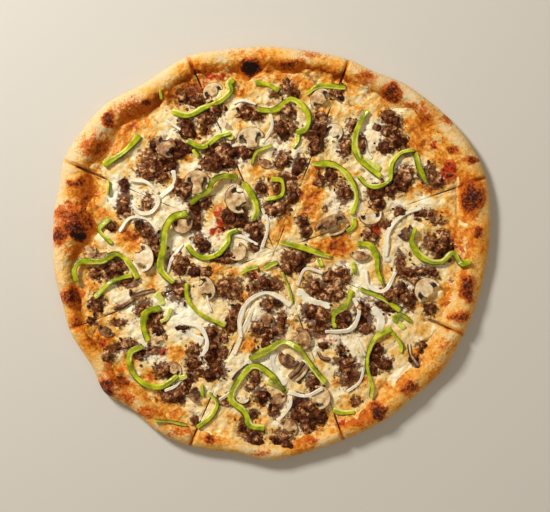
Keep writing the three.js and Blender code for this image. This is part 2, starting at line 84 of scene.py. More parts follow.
EDGE_INSET = 0.35 * MM  # keeps the crust's edge inside the solids' box
BUBBLE = 5.5 * MM  # size of the rim's bubbles
CHEESE_KERF = 0.15 * MM
PULL_REACH = 6 * MM  # how far from a cut a slice's points are still pulled in
STRIP_STEP = 1.1 * MM  # from one section of a strip to the next
STRIP_AROUND = 20  # points round a section
LARGEST = 99  # more pixels than any crumble reaches

# Kinds of strip: width, height, how wide single strips are against the others, and how much of the
# flesh is the pale wall.
PEPPER_WIDTHS = {1: 1.1, 4: 0.9, 6: 1.15, 12: 0.75, 13: 1.1, 15: 0.85, 17: 1.3, 20: 0.8, 21: 1.15}
PEPPER = (6.7 * MM, 4.6 * MM, PEPPER_WIDTHS, 0)
BIT = (5.4 * MM, 4 * MM, {9: 0.6, 15: 0.6, 21: 0.5, 25: 0.6}, 0)
SLAB = (7.4 * MM, 3 * MM, {1: 1.35, 4: 0.8, 5: 0.6, 7: 0.75}, 0.7)
ONION = (4.2 * MM, 2.6 * MM, {4: 1.35, 5: 1.3, 6: 1.25, 7: 1.15, 10: 1.2}, 0)
SHRED = (3.6 * MM, 2.4 * MM, {1: 1.3, 6: 1.4, 9: 1.2, 11: 1.4}, 0)
SHEET = (9 * MM, 1.5 * MM, {}, 0)
ON_EDGE = (5 * MM, 3.4 * MM, {}, 0)

# ---- places on the photograph

OUTLINE = [
    [270, 46], [310, 50], [349, 59], [375, 71], [403, 82], [428, 99], [451, 119], [468, 139],
    [479, 157], [487, 178], [491, 205], [490, 245], [485, 275], [476, 308], [462, 340], [443, 371],
    [414, 398], [385, 421], [343, 441], [310, 452], [270, 461], [235, 454], [190, 447], [160, 434],
    [130, 409], [104, 393], [92, 368], [70, 333], [62, 305], [54, 275], [52, 240], [53, 212],
    [58, 190], [63, 160], [82, 129], [106, 103], [141, 84], [187, 56], [222, 49],
]

HUB = [275, 251]
CUT_ENDS = [
    [188, 57], [349, 60], [486, 177], [466, 336], [344, 441], [189, 447], [68, 330], [62, 160],
]

# Width of the puffed rim in millimetres at an angle in degrees, anticlockwise from the right.
RIM_WIDTHS = [
    [-175, 27], [-168, 22], [-155, 28], [-140, 31], [-115, 25], [-90, 23], [-70, 25], [-45, 34],
    [-20, 36], [5, 40], [22, 36], [45, 30], [70, 29], [90, 31], [114, 33], [140, 37], [158, 42],
    [172, 50],
]

# Blisters of the rim: [x, y, half width, half height] in pixels, and how far they rise in mm.
BLISTERS = [
    [75, 226, 24, 20, 4.5], [83, 186, 19, 13, 2.5], [75, 297, 15, 13, 4.5], [109, 388, 11, 12, 3.5],
    [123, 383, 11, 8, 2], [471, 198, 13, 20, 5], [478, 232, 8, 8, 2], [468, 288, 9, 18, 4],
    [458, 317, 11, 8, 2.5], [376, 411, 12, 13, 4], [408, 386, 11, 11, 3], [251, 70, 12, 10, 3],
    [393, 96, 12, 13, 2.5], [187, 434, 9, 8, 1.8], [147, 411, 11, 8, 1.8], [136, 106, 19, 13, 2.5],
    [98, 147, 17, 17, 2.5], [290, 64, 15, 8, 1.5], [440, 348, 14, 14, 2],
]

# Browned and charred patches of the rim: [x, y, half width, half height, how dark from 0 to 1].
BROWNED = [
    [76, 219, 24, 16, 0.75], [86, 206, 16, 16, 0.6], [61, 214, 9, 8, 0.75], [75, 228, 14, 11, 1.0],
    [91, 222, 13, 15, 0.75], [60, 235, 9, 12, 0.9], [79, 236, 8, 5, 1.35], [95, 203, 11, 12, 0.6],
    [75, 252, 11, 9, 0.5], [77, 184, 11, 6, 0.85], [70, 202, 5, 4, 0.7], [90, 192, 17, 15, 0.35],
    [97, 197, 8, 16, 0.6], [73, 297, 13, 11, 1.0], [78, 321, 8, 8, 0.7], [108, 386, 9, 11, 1.05],
    [122, 382, 11, 7, 0.95], [116, 367, 12, 9, 0.6], [127, 398, 13, 9, 0.6], [147, 411, 12, 7, 0.6],
    [179, 432, 16, 6, 0.5], [211, 439, 9, 5, 0.75], [262, 452, 12, 5, 0.5],
    [471, 198, 11, 19, 1.05], [477, 232, 7, 7, 0.85], [467, 288, 7, 15, 1.1],
    [458, 317, 11, 7, 0.8], [472, 160, 9, 4, 0.8], [453, 151, 7, 6, 0.8], [446, 119, 9, 7, 0.6],
    [392, 94, 11, 11, 0.95], [366, 78, 12, 9, 0.6], [415, 112, 20, 12, 0.5], [250, 71, 12, 11, 1.5],
    [317, 75, 10, 6, 0.8], [312, 56, 14, 6, 0.4], [250, 54, 22, 8, 0.3], [212, 74, 24, 8, 0.55],
    [290, 66, 16, 6, 0.75], [198, 76, 5, 8, 0.9], [136, 112, 22, 16, 0.55], [148, 103, 6, 6, 1.0],
    [97, 148, 18, 16, 0.6], [377, 412, 10, 9, 1.1], [410, 387, 9, 8, 0.85], [446, 346, 9, 9, 0.4],
    [436, 366, 8, 9, 0.3], [356, 421, 18, 8, 0.5], [110, 120, 6, 9, 0.9], [465, 250, 10, 18, 0.35],
    [462, 215, 8, 24, 0.25], [309, 441, 9, 6, 0.6], [425, 120, 8, 6, 0.7],
]

# Cheese that browned, sauce that shows through, and white cheese: as above, with their strength.
TOASTED = [
    [243, 92, 7, 6, 1.4], [131, 238, 11, 13, 1.2], [154, 283, 8, 9, 1], [232, 273, 9, 6, 1],
    [176, 356, 10, 8, 1], [149, 373, 6, 6, 1], [317, 173, 7, 7, 1], [309, 200, 11, 22, 1.1],
    [287, 222, 9, 14, 1.1], [337, 247, 15, 10, 1.2], [411, 188, 6, 6, 1], [427, 188, 10, 6, 1],
    [360, 109, 6, 6, 0.7], [187, 158, 7, 5, 1], [115, 172, 6, 7, 0.8], [239, 124, 7, 5, 0.9],
    [208, 131, 8, 6, 0.9], [330, 108, 12, 8, 0.6], [352, 84, 12, 6, 0.3], [265, 64, 60, 8, 0.5],
    [420, 130, 12, 14, 0.6], [442, 165, 9, 16, 0.7], [455, 235, 9, 20, 0.7], [450, 300, 9, 22, 0.6],
    [430, 350, 14, 10, 0.6], [350, 415, 20, 9, 0.6], [240, 432, 20, 8, 0.5], [170, 412, 16, 8, 0.6],
    [108, 350, 9, 14, 0.7], [93, 290, 8, 14, 0.5], [104, 215, 8, 16, 0.5], [118, 156, 13, 20, 0.8],
    [136, 126, 14, 12, 0.7], [141, 159, 5, 6, 0.9], [128, 167, 6, 9, 0.5], [244, 298, 10, 8, 0.6],
    [322, 246, 6, 7, 0.9], [423, 333, 10, 7, 0.6], [390, 390, 9, 7, 0.8], [262, 407, 5, 4, 0.8],
    [237, 419, 10, 7, 0.7], [335, 385, 5, 8, 0.9], [319, 112, 8, 5, 0.8], [247, 346, 8, 7, 1.3],
    [414, 142, 8, 8, 0.5], [280, 225, 8, 10, 0.6], [223, 268, 14, 8, 0.4], [345, 400, 16, 10, 0.5],
    [120, 370, 12, 10, 0.7],
]
SAUCE = [
    [218, 212, 6, 9, 1], [224, 226, 7, 6, 0.9], [213, 231, 5, 5, 0.9], [378, 228, 7, 7, 1.2],
    [450, 172, 8, 11, 1.5], [103, 342, 5, 7, 0.9], [163, 351, 7, 5, 0.9], [325, 337, 13, 5, 0.9],
    [242, 180, 5, 4, 0.9], [300, 178, 9, 5, 0.9], [254, 276, 5, 5, 0.9], [461, 252, 5, 6, 0.9],
    [340, 424, 10, 7, 0.9], [215, 76, 20, 6, 1.0], [265, 79, 22, 4, 0.5], [310, 68, 30, 6, 0.6],
    [434, 145, 5, 9, 0.9], [452, 285, 4, 10, 0.6], [200, 86, 8, 7, 0.7], [246, 108, 6, 4, 0.5],
]
WHITE = [
    [362, 93, 12, 16, 0.9], [393, 116, 12, 8, 0.8], [372, 290, 12, 10, 0.7], [114, 198, 6, 20, 1],
    [175, 208, 12, 9, 1], [206, 248, 24, 15, 0.8], [183, 318, 20, 28, 0.9], [425, 200, 7, 7, 1],
    [350, 270, 14, 10, 0.6], [255, 318, 10, 12, 0.7], [400, 245, 9, 16, 0.8],
    [280, 290, 12, 8, 0.5], [360, 335, 12, 14, 0.6], [225, 300, 9, 12, 0.7], [265, 360, 10, 8, 0.7],
    [240, 160, 10, 6, 0.6], [345, 125, 5, 12, 0.6], [380, 310, 10, 12, 0.8], [130, 300, 8, 10, 0.5],
]

# Strips of green pepper and onion, each a run of x and y along its middle. Those in the first list
# of a topping have a solid.
PEPPERS = [
    [172, 111, 188, 115, 206, 107, 222, 100, 231, 90, 229, 84, 234, 79],
    [257, 109, 274, 110, 292, 99, 309, 116, 305, 130, 296, 132],
    [368, 110, 360, 123, 355, 140, 358, 156, 367, 166, 381, 177],
    [359, 176, 366, 184, 377, 187, 390, 180, 392, 164, 402, 153, 415, 150],
    [77, 282, 74, 272, 80, 262, 102, 261, 115, 254, 124, 258, 131, 267, 138, 279],
    [188, 213, 174, 217, 166, 228, 163, 250, 161, 270, 174, 283],
    [190, 204, 198, 197, 208, 191, 213, 181, 224, 176, 238, 178],
    [187, 245, 193, 253, 204, 258, 219, 253, 228, 242, 229, 234, 238, 230],
    [312, 164, 335, 165, 348, 176, 357, 195, 352, 215],
    [357, 244, 369, 245, 377, 256, 378, 271, 383, 285],
    [143, 346, 131, 352, 130, 367, 142, 383, 160, 387, 178, 376],
    [186, 283, 188, 300, 202, 315, 226, 326],
    [249, 359, 268, 350, 284, 342, 298, 348, 313, 368, 326, 384],
    [265, 428, 251, 426, 244, 412, 231, 399, 243, 375, 254, 366, 270, 374, 284, 391],
    [392, 329, 376, 338, 369, 352, 367, 367, 372, 386, 371, 398],
    [415, 228, 412, 242, 423, 258, 441, 262, 453, 253, 461, 264, 469, 261],
    [103, 165, 124, 152, 140, 135], [186, 141, 203, 147, 218, 137, 231, 133],
    [161, 308, 147, 312, 143, 325, 148, 342], [280, 242, 300, 247, 331, 257],
    [243, 182, 252, 195, 257, 209, 253, 221],
]
SMALL_PEPPERS = [
    [255, 82, 270, 85, 279, 91], [306, 94, 319, 86, 346, 87], [416, 152, 418, 164, 426, 183],
    [271, 179, 282, 181, 282, 195, 266, 200], [352, 290, 346, 305, 334, 315, 335, 328],
    [360, 289, 380, 297, 401, 311], [208, 393, 217, 403, 212, 416, 197, 428],
    [110, 218, 99, 229, 112, 244], [252, 165, 256, 153, 272, 145], [132, 275, 113, 281, 94, 298],
    [394, 322, 400, 315, 412, 322], [161, 90, 162, 100], [193, 149, 199, 157],
    [298, 134, 298, 141, 293, 148], [108, 180, 108, 195], [241, 274, 249, 269, 258, 267],
    [264, 269, 271, 265, 278, 262], [319, 258, 322, 267], [354, 218, 354, 226, 347, 232],
    [353, 262, 355, 274], [282, 272, 290, 290, 293, 304], [392, 332, 402, 346, 401, 353],
    [202, 385, 203, 397], [333, 410, 343, 413, 355, 412], [155, 419, 170, 421, 187, 425],
]
PEPPER_SLABS = [
    [360, 159, 370, 165, 380, 171], [267, 381, 277, 386, 288, 392], [393, 314, 398, 322, 405, 329],
    [155, 293, 160, 298, 163, 305], [160, 322, 167, 318, 171, 308], [224, 131, 229, 135, 233, 139],
    [176, 379, 182, 378, 187, 376],
]
ONIONS = [
    [130, 180, 146, 182, 158, 193], [132, 205, 140, 213, 151, 212, 158, 203, 157, 195],
    [119, 232, 130, 218, 146, 219, 159, 231], [422, 207, 402, 216, 389, 231, 386, 257],
    [291, 306, 280, 298, 266, 293, 248, 302, 240, 320, 241, 338],
    [182, 323, 199, 327, 207, 342, 203, 357], [354, 298, 359, 312, 351, 329, 325, 332],
    [366, 270, 369, 286, 384, 291, 396, 272], [297, 286, 306, 269, 323, 273],
    [288, 392, 305, 396, 323, 388],
]
SMALL_ONIONS = [
    [173, 170, 174, 183, 160, 197], [183, 244, 172, 259, 167, 273], [262, 208, 268, 224, 262, 248],
    [213, 284, 207, 296, 211, 312], [166, 120, 182, 131, 193, 142], [232, 146, 242, 144, 253, 149],
    [270, 112, 272, 126, 262, 143], [364, 138, 366, 149, 372, 159], [233, 234, 245, 238, 258, 245],
    [164, 391, 174, 387, 182, 379], [252, 312, 245, 328, 234, 355], [219, 400, 226, 396, 233, 390],
    [291, 396, 290, 406, 278, 422], [347, 392, 360, 382, 364, 368], [357, 338, 366, 357],
    [233, 103, 243, 100, 256, 104],
]
ONION_SHEETS = [
    [180, 329, 191, 336, 203, 343], [275, 351, 273, 364, 286, 385], [297, 290, 312, 302, 331, 306],
    [372, 308, 381, 319, 380, 332], [385, 244, 388, 262],
]

# Mushroom slices: [x, y, stem, width, depth, length, roast, gills]. The middle of the gill line,
# where the stem points in degrees anticlockwise from the right, the cap's width and depth and the
# stem's length in pixels, and how brown the flesh and how dark the gills are. The small ones are
# baked into the cheese, and those on edge are strips.
MUSHROOMS = [
    [250, 137, -80, 28, 10, 11, 0.15, 1], [143, 258, 185, 30, 11, 9, 0.1, 0.8],
    [197, 181, -90, 26, 11, 14, 0.25, 1], [238, 199, 15, 30, 13, 8, 0.2, 1],
    [330, 224, -65, 34, 8, 4, 0.5, 1.4], [370, 215, 100, 24, 10, 3, 0.1, 1.4],
    [428, 292, -50, 28, 15, 4, 0.15, 1.2], [319, 398, 190, 25, 12, 7, 0.25, 0.8],
    [206, 288, 200, 26, 9, 8, 0.25, 1.3], [182, 222, 90, 22, 12, 3, 0.35, 1],
    [166, 147, 30, 26, 9, 10, 0.48, 1.5], [321, 99, -40, 24, 10, 5, 0.3, 1],
    [301, 339, 200, 24, 10, 8, 0.4, 0.5],
]
SMALL_MUSHROOMS = [
    [213, 92, -60, 22, 10, 3, 0.15, 1.2], [89, 251, 120, 15, 8, 6, 0.35, 0.6],
    [103, 254, 100, 20, 9, 2, 0.35, 0.4], [236, 251, 150, 20, 11, 3, 0.3, 0.6],
    [405, 231, 130, 17, 9, 3, 0.7, 0.5], [173, 371, -120, 18, 9, 3, 0.4, 0.9],
    [267, 322, -90, 16, 9, 5, 0.45, 0.6], [289, 358, 60, 22, 10, 3, 0.62, 0.4],
    [333, 133, 225, 19, 11, 3, 0.15, 1.2], [288, 428, 230, 22, 9, 3, 0.4, 0.6],
    [360, 254, 80, 20, 7, 3, 0.35, 0.6], [277, 397, 100, 20, 8, 3, 0.5, 1],
    [266, 161, 70, 18, 7, 2, 0.4, 0.6], [243, 398, 90, 14, 6, 2, 0.15, 0.6],
    [106, 330, 60, 18, 7, 3, 0.55, 1.2], [157, 340, 20, 14, 7, 6, 0.3, 0.6],
    [197, 395, 10, 16, 8, 3, 0.6, 0.6],
]
MUSHROOM_EDGES = [
    [289, 378, 297, 371, 304, 362], [296, 382, 303, 376, 309, 367], [409, 344, 411, 355, 418, 366],
    [113, 309, 123, 306, 134, 299], [130, 297, 142, 293, 155, 290], [233, 381, 240, 372, 249, 365],
    [330, 236, 342, 232, 349, 224], [318, 352, 322, 358, 330, 360],
]

# Beef crumbles: [x, y, half width, half height] in pixels.
BEEF = [
    [155, 146, 5, 6], [178, 153, 7, 5], [187, 148, 5, 4], [183, 97, 6, 6], [196, 97, 8, 8],
    [187, 128, 8, 8], [206, 118, 8, 8], [216, 110, 6, 6], [205, 130, 5, 5], [210, 150, 6, 6],
    [222, 152, 8, 8], [232, 150, 7, 7], [215, 160, 9, 9], [228, 163, 6, 6], [245, 152, 6, 6],
    [205, 163, 5, 5], [247, 112, 6, 6], [257, 115, 6, 6], [288, 111, 7, 7], [284, 130, 8, 8],
    [291, 126, 5, 5], [287, 88, 6, 6], [293, 93, 5, 5], [275, 94, 4, 4], [283, 158, 6, 6],
    [280, 165, 4, 4], [300, 163, 6, 6], [297, 170, 4, 4], [338, 93, 5, 5], [341, 98, 3, 3],
    [318, 128, 7, 7], [322, 120, 6, 6], [312, 133, 6, 6], [317, 142, 7, 7], [314, 150, 4, 4],
    [346, 147, 5, 9], [352, 126, 4, 6], [361, 143, 4, 7], [377, 127, 3, 3], [388, 117, 6, 6],
    [396, 122, 6, 6], [391, 130, 7, 7], [395, 140, 8, 8], [386, 146, 6, 6], [403, 142, 5, 5],
    [431, 170, 5, 5], [437, 180, 7, 7], [424, 176, 4, 4], [407, 174, 7, 7], [399, 183, 8, 8],
    [391, 191, 6, 6], [376, 193, 7, 7], [378, 203, 6, 6], [372, 238, 6, 6], [368, 233, 4, 4],
    [400, 213, 5, 5], [387, 225, 4, 4], [421, 213, 6, 3], [432, 214, 4, 4], [437, 221, 6, 4],
    [432, 243, 7, 7], [441, 250, 7, 7], [446, 243, 5, 5], [441, 256, 5, 5], [445, 234, 4, 4],
    [450, 247, 4, 4], [401, 261, 4, 9], [408, 274, 8, 5], [423, 271, 9, 4], [434, 274, 4, 4],
    [414, 280, 6, 4], [401, 290, 6, 6], [392, 295, 6, 6], [407, 298, 6, 6], [385, 292, 5, 5],
    [383, 304, 7, 4], [393, 308, 7, 4], [410, 305, 5, 5], [430, 309, 5, 5], [147, 203, 5, 7],
    [124, 188, 4, 7], [125, 198, 5, 6], [123, 208, 6, 6], [127, 214, 4, 4], [140, 225, 5, 5],
    [147, 231, 6, 6], [153, 239, 6, 6], [157, 249, 5, 5], [158, 257, 4, 4], [112, 226, 4, 4],
    [113, 268, 10, 10], [106, 275, 5, 5], [95, 274, 5, 5], [127, 283, 8, 4], [97, 303, 6, 9],
    [143, 308, 7, 7], [155, 320, 6, 8], [157, 331, 5, 5], [92, 322, 4, 4], [118, 323, 6, 3],
    [107, 355, 6, 6], [118, 348, 7, 4], [129, 344, 6, 4], [140, 354, 8, 4], [153, 351, 7, 4],
    [163, 371, 8, 6], [168, 375, 4, 4], [172, 396, 11, 6], [184, 391, 5, 5], [176, 260, 6, 6],
    [183, 262, 5, 5], [180, 270, 5, 5], [178, 187, 5, 7], [184, 192, 6, 6], [195, 208, 5, 8],
    [196, 222, 6, 9], [205, 203, 5, 5], [199, 240, 5, 5], [203, 247, 6, 6], [232, 217, 8, 8],
    [241, 221, 7, 7], [243, 213, 5, 5], [248, 226, 5, 5], [256, 228, 6, 6], [257, 238, 6, 6],
    [254, 245, 5, 5], [262, 189, 5, 7], [277, 186, 4, 7], [268, 208, 5, 5], [277, 209, 7, 7],
    [284, 205, 5, 5], [290, 186, 7, 7], [293, 197, 5, 5], [285, 178, 8, 4], [225, 257, 12, 5],
    [178, 291, 8, 8], [230, 288, 10, 9], [195, 272, 6, 4], [205, 273, 5, 5], [255, 290, 6, 6],
    [264, 284, 7, 7], [274, 285, 8, 6], [252, 276, 4, 4], [268, 305, 5, 5], [277, 303, 5, 5],
    [258, 329, 6, 6], [270, 334, 9, 6], [280, 329, 5, 5], [283, 320, 4, 8], [266, 344, 4, 4],
    [256, 352, 3, 3], [234, 316, 5, 5], [230, 326, 5, 6], [237, 307, 3, 3], [212, 333, 6, 6],
    [222, 338, 5, 5], [214, 345, 6, 6], [211, 355, 6, 6], [221, 352, 5, 5], [216, 364, 6, 6],
    [219, 372, 6, 6], [211, 375, 5, 5], [194, 350, 6, 6], [182, 328, 5, 2], [193, 364, 6, 7],
    [198, 372, 5, 5], [190, 378, 6, 4], [255, 377, 5, 7], [250, 388, 5, 3], [262, 397, 6, 7],
    [275, 411, 4, 5], [242, 404, 7, 3], [222, 402, 5, 4], [243, 426, 4, 6], [254, 415, 4, 4],
    [195, 421, 3, 5], [253, 440, 8, 8], [283, 437, 8, 6], [288, 444, 6, 4], [277, 441, 5, 5],
    [300, 404, 7, 7], [297, 415, 6, 6], [308, 420, 9, 9], [317, 418, 7, 7], [308, 429, 6, 4],
    [306, 410, 7, 7], [313, 384, 5, 7], [315, 288, 8, 8], [335, 287, 8, 8], [343, 275, 6, 7],
    [327, 297, 6, 5], [340, 294, 5, 5], [330, 278, 6, 6], [290, 258, 6, 6], [298, 263, 7, 7],
    [305, 256, 6, 6], [287, 268, 5, 5], [302, 221, 5, 5], [306, 230, 4, 7], [331, 176, 5, 8],
    [339, 184, 4, 4], [345, 194, 6, 8], [320, 182, 4, 4], [325, 208, 2, 3], [311, 313, 8, 8],
    [321, 318, 8, 8], [318, 329, 8, 7], [344, 320, 7, 8], [342, 328, 5, 5], [362, 308, 6, 6],
    [364, 318, 7, 7], [364, 328, 8, 5], [374, 357, 5, 8], [379, 351, 5, 4], [385, 365, 6, 6],
    [374, 370, 3, 5], [342, 351, 4, 4], [325, 346, 5, 3], [345, 362, 9, 4], [350, 374, 9, 11],
    [356, 401, 4, 4], [423, 345, 5, 3], [416, 361, 3, 5], [150, 160, 8, 8], [160, 165, 8, 8],
    [168, 160, 6, 6], [150, 172, 7, 7], [160, 175, 6, 6], [172, 167, 5, 5], [142, 170, 5, 5],
    [178, 147, 6, 6], [160, 150, 5, 5],
]


# ---- small helpers


def on_pie(places):
    """Pixels of the photograph to metres on the pie: x to the right, y towards the top."""
    return (np.asarray(places, float)[..., :2] - PHOTO_CENTRE) * PIXEL * [1, -1]


def from_oval(x, y, oval):
    """How far points lie from an oval's centre, in its half widths and half heights."""
    centre = on_pie(oval)
    return (x - centre[0]) / (oval[2] * PIXEL), (y - centre[1]) / (oval[3] * PIXEL)


def towards(x, y, degrees):
    """How far a place lies towards an angle round the pie: the cosine of the angle between."""
    return np.cos(np.arctan2(y, x) - math.radians(degrees))


def ease(value):
    """Smoothstep of a value held from 0 to 1: 3v^2 - 2v^3."""
    value = np.clip(value, 0, 1)
    return value * value * (3 - 2 * value)


def stacked(x, y, z):
    """Points from their x, y and z."""
    return np.stack(np.broadcast_arrays(x, y, z), -1)


def waves(x, y, size):
    """Soft uneven waves from -1 to 1: the mean of three crossed sines, `size` from hump to hump."""
    k = 2 * math.pi / size
    a = np.sin(k * (0.9 * x + 0.3 * y) + 1.3)
    b = np.sin(k * (-0.4 * x + 1.1 * y) + 4.1)
    c = np.sin(k * (0.7 * x - 0.8 * y) + 2.2)
    return (a + b + c) / 3


LATTICE_SIDE = 32
WRAP = LATTICE_SIDE - 1
LATTICE = np.random.default_rng(7).random((LATTICE_SIDE,) * 3)


def grain(x, y, z, size, seed=0):
    """Value noise from -1 to 1: random numbers on a lattice `size` wide, eased between corners."""
    points = stacked(x, y, z) / size + [seed * 3.7, seed * 9.1, seed * 5.3]
    cell = np.floor(points).astype(int)
    share = ease(points - cell)
    total = 0
    for corner in np.ndindex(2, 2, 2):
        weight = np.prod(np.where(corner, share, 1 - share), -1)
        i, j, k = np.moveaxis((cell + corner) & WRAP, -1, 0)
        total = total + weight * LATTICE[i, j, k]
    return 2 * total - 1


def layered(x, y, z, size, seed=0, layers=3):
    """Value noise in layers, each half as large and half as strong as the one before."""
    return sum(grain(x, y, z, size / 2**n, seed + n) / 2**n for n in range(layers))


def cells(points, size, seed=0):
    """Cell noise: the distance from each point to the nearest of many seeds, one thrown at random
    into each cell of a lattice `size` wide; 0 on a seed, about 1 where several cells meet."""
    points = points / size + seed * 4.3
    sides = points.shape[-1]
    cell = np.floor(points).astype(int)
    nearest = np.full(points.shape[:-1], 9.0)
    for step in np.ndindex(*[3] * sides):
        at = cell + step - 1
        index = [at[..., n] & WRAP for n in range(sides)] + [np.full(nearest.shape, seed)]
        i, j, k = index[:3]
        thrown = [LATTICE[i, j, k], LATTICE[j, k, i], LATTICE[k, i, j]][:sides]
        gap = at + np.stack(thrown, -1) - points
        nearest = np.minimum(nearest, np.sqrt((gap**2).sum(-1)))
    return nearest


def path_run(points):
    """Distance along a path at each of its points."""
    return np.concatenate([[0], np.cumsum(np.linalg.norm(np.diff(points, axis=0), axis=1))])


def smooth_curve(points, closed, per_span):
    """Centripetal Catmull-Rom curve through points: a cubic on each span, whose end slopes weigh
    the neighbouring spans by the square root of their length."""
    points = np.asarray(points, float)
    if closed:
        before, after = points[-1:], points[:2]
    else:
        before, after = 2 * points[:1] - points[1:2], 2 * points[-1:] - points[-2:-1]
    held = np.concatenate([before, points, after])
    a, b, c, d = held[:-3], held[1:-2], held[2:-1], held[3:]
    spans = ((a, b), (b, c), (c, d))
    ab, bc, cd = (np.linalg.norm(q - p, axis=-1, keepdims=True) ** 0.5 for p, q in spans)
    start = bc * ((b - a) / ab - (c - a) / (ab + bc) + (c - b) / bc)
    end = bc * ((c - b) / bc - (d - b) / (bc + cd) + (d - c) / cd)
    t = (np.arange(per_span) / per_span)[None, :, None]
    b, c, start, end = b[:, None], c[:, None], start[:, None], end[:, None]
    square, cube = 3 * (c - b) - 2 * start - end, 2 * (b - c) + start + end
    curve = (b + start * t + square * t**2 + cube * t**3).reshape(-1, points.shape[-1])
    return curve if closed else np.concatenate([curve, points[-1:]])


def spots(x, y, places, steepness=1.0, wander=0.0):
    """How strongly each point lies in any of the ovals: the highest of their bell curves, flatter
    on top and steeper at the side with a larger steepness. Noise bends them by `wander`."""
    if wander:
        bend = [wander * layered(x, y, 0, 9 * MM, seed=seed, layers=2) for seed in (91, 95)]
        x, y = x + bend[0], y + bend[1]
    total = np.zeros(np.shape(x))
    for oval in places:
        across, along = from_oval(x, y, oval)
        bell = np.exp(-0.9 * (across**2 + along**2) ** steepness)
        total = np.maximum(total, oval[4] * bell)
    return total


# ---- meshes


def patch(points, start):
    """Triangles of a grid of points, two to a cell, numbered from `start`."""
    rows, columns = points.shape[:2]
    index = start + np.arange(rows * columns).reshape(rows, columns)
    a, b, c, d = index[:-1, :-1], index[:-1, 1:], index[1:, 1:], index[1:, :-1]
    halves = [np.stack([a, b, c], -1), np.stack([a, c, d], -1)]
    return np.concatenate([half.reshape(-1, 3) for half in halves])


def sewn(grids):
    """Points and triangles of several grids, merged where they meet, and which points were kept."""
    points = np.concatenate([grid.reshape(-1, 3) for grid in grids])
    starts = np.cumsum([0] + [grid.shape[0] * grid.shape[1] for grid in grids])
    triangles = np.concatenate([patch(grid, start) for grid, start in zip(grids, starts)])
    keys = np.round(points / 1e-7).astype(np.int64)
    _, kept, inverse = np.unique(keys, axis=0, return_index=True, return_inverse=True)
    triangles = inverse.reshape(-1)[triangles]
    a, b, c = triangles.T
    return points[kept], triangles[(a != b) & (b != c) & (c != a)], kept


def thinned(grid):
    """A grid that isn't seen, with a third of its columns, sewn to its whole last row by fans."""
    nearest = np.round(np.arange(grid.shape[1]) / 3).astype(int) * 3
    return [grid[:-1, ::3], np.stack([grid[-2][nearest], grid[-1]])]


def sealed(grid):
    """A grid that goes round, closed along its seam and to a point at both ends."""
    grid[:, -1] = grid[:, 0]
    grid[[0, -1]] = grid[[0, -1]].mean(axis=1, keepdims=True)
    return grid


def new_piece(name, points, triangles, masks, material, nodes):
    """A shown piece: its mesh with a number at each point for every mask, facing outwards."""
    mesh = bpy.data.meshes.new(name)
    mesh.vertices.add(len(points))
    mesh.vertices.foreach_set("co", points.astype(np.float32).ravel())
    mesh.loops.add(triangles.size)
    mesh.loops.foreach_set("vertex_index", triangles.astype(np.int32).ravel())
    mesh.polygons.add(len(triangles))
    mesh.polygons.foreach_set("loop_start", np.arange(0, triangles.size, 3, dtype=np.int32))
    mesh.update(calc_edges=True)
    for mask, values in masks.items():
        layer = mesh.attributes.new(mask, "FLOAT", "POINT")
        layer.data.foreach_set("value", np.asarray(values, np.float32).ravel())
    shell = bmesh.new()
    shell.from_mesh(mesh)
    bmesh.ops.recalc_face_normals(shell, faces=shell.faces)
    shell.to_mesh(mesh)
    shell.free()
    mesh.shade_smooth()
    mesh.set_sharp_from_angle(angle=math.radians(60))
    mesh.materials.append(material)
    piece = bpy.data.objects.new(name, mesh)
    bpy.context.scene.collection.objects.link(piece)
    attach(piece, "root")
    if nodes:
        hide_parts(*nodes)


def joined_piece(name, shells, values, material, nodes):
    """A piece of several shells. `values` holds, for each shell, its masks' values by name."""
    points, triangles, kept = sewn(shells)
    masks = {}
    for mask in values[0]:
        masks[mask] = np.concatenate([value[mask].ravel() for value in values])[kept]
    new_piece(name, points, triangles, masks, material, nodes)


# ---- materials


def rgb(red, green, blue):
    """A colour as the eye reads it, 0 to 255, turned into light."""
    share = np.array([red, green, blue]) / 255
    light = np.where(share <= 0.04045, share / 12.92, ((share + 0.055) / 1.055) ** 2.4)
    return (*light.tolist(), 1.0)


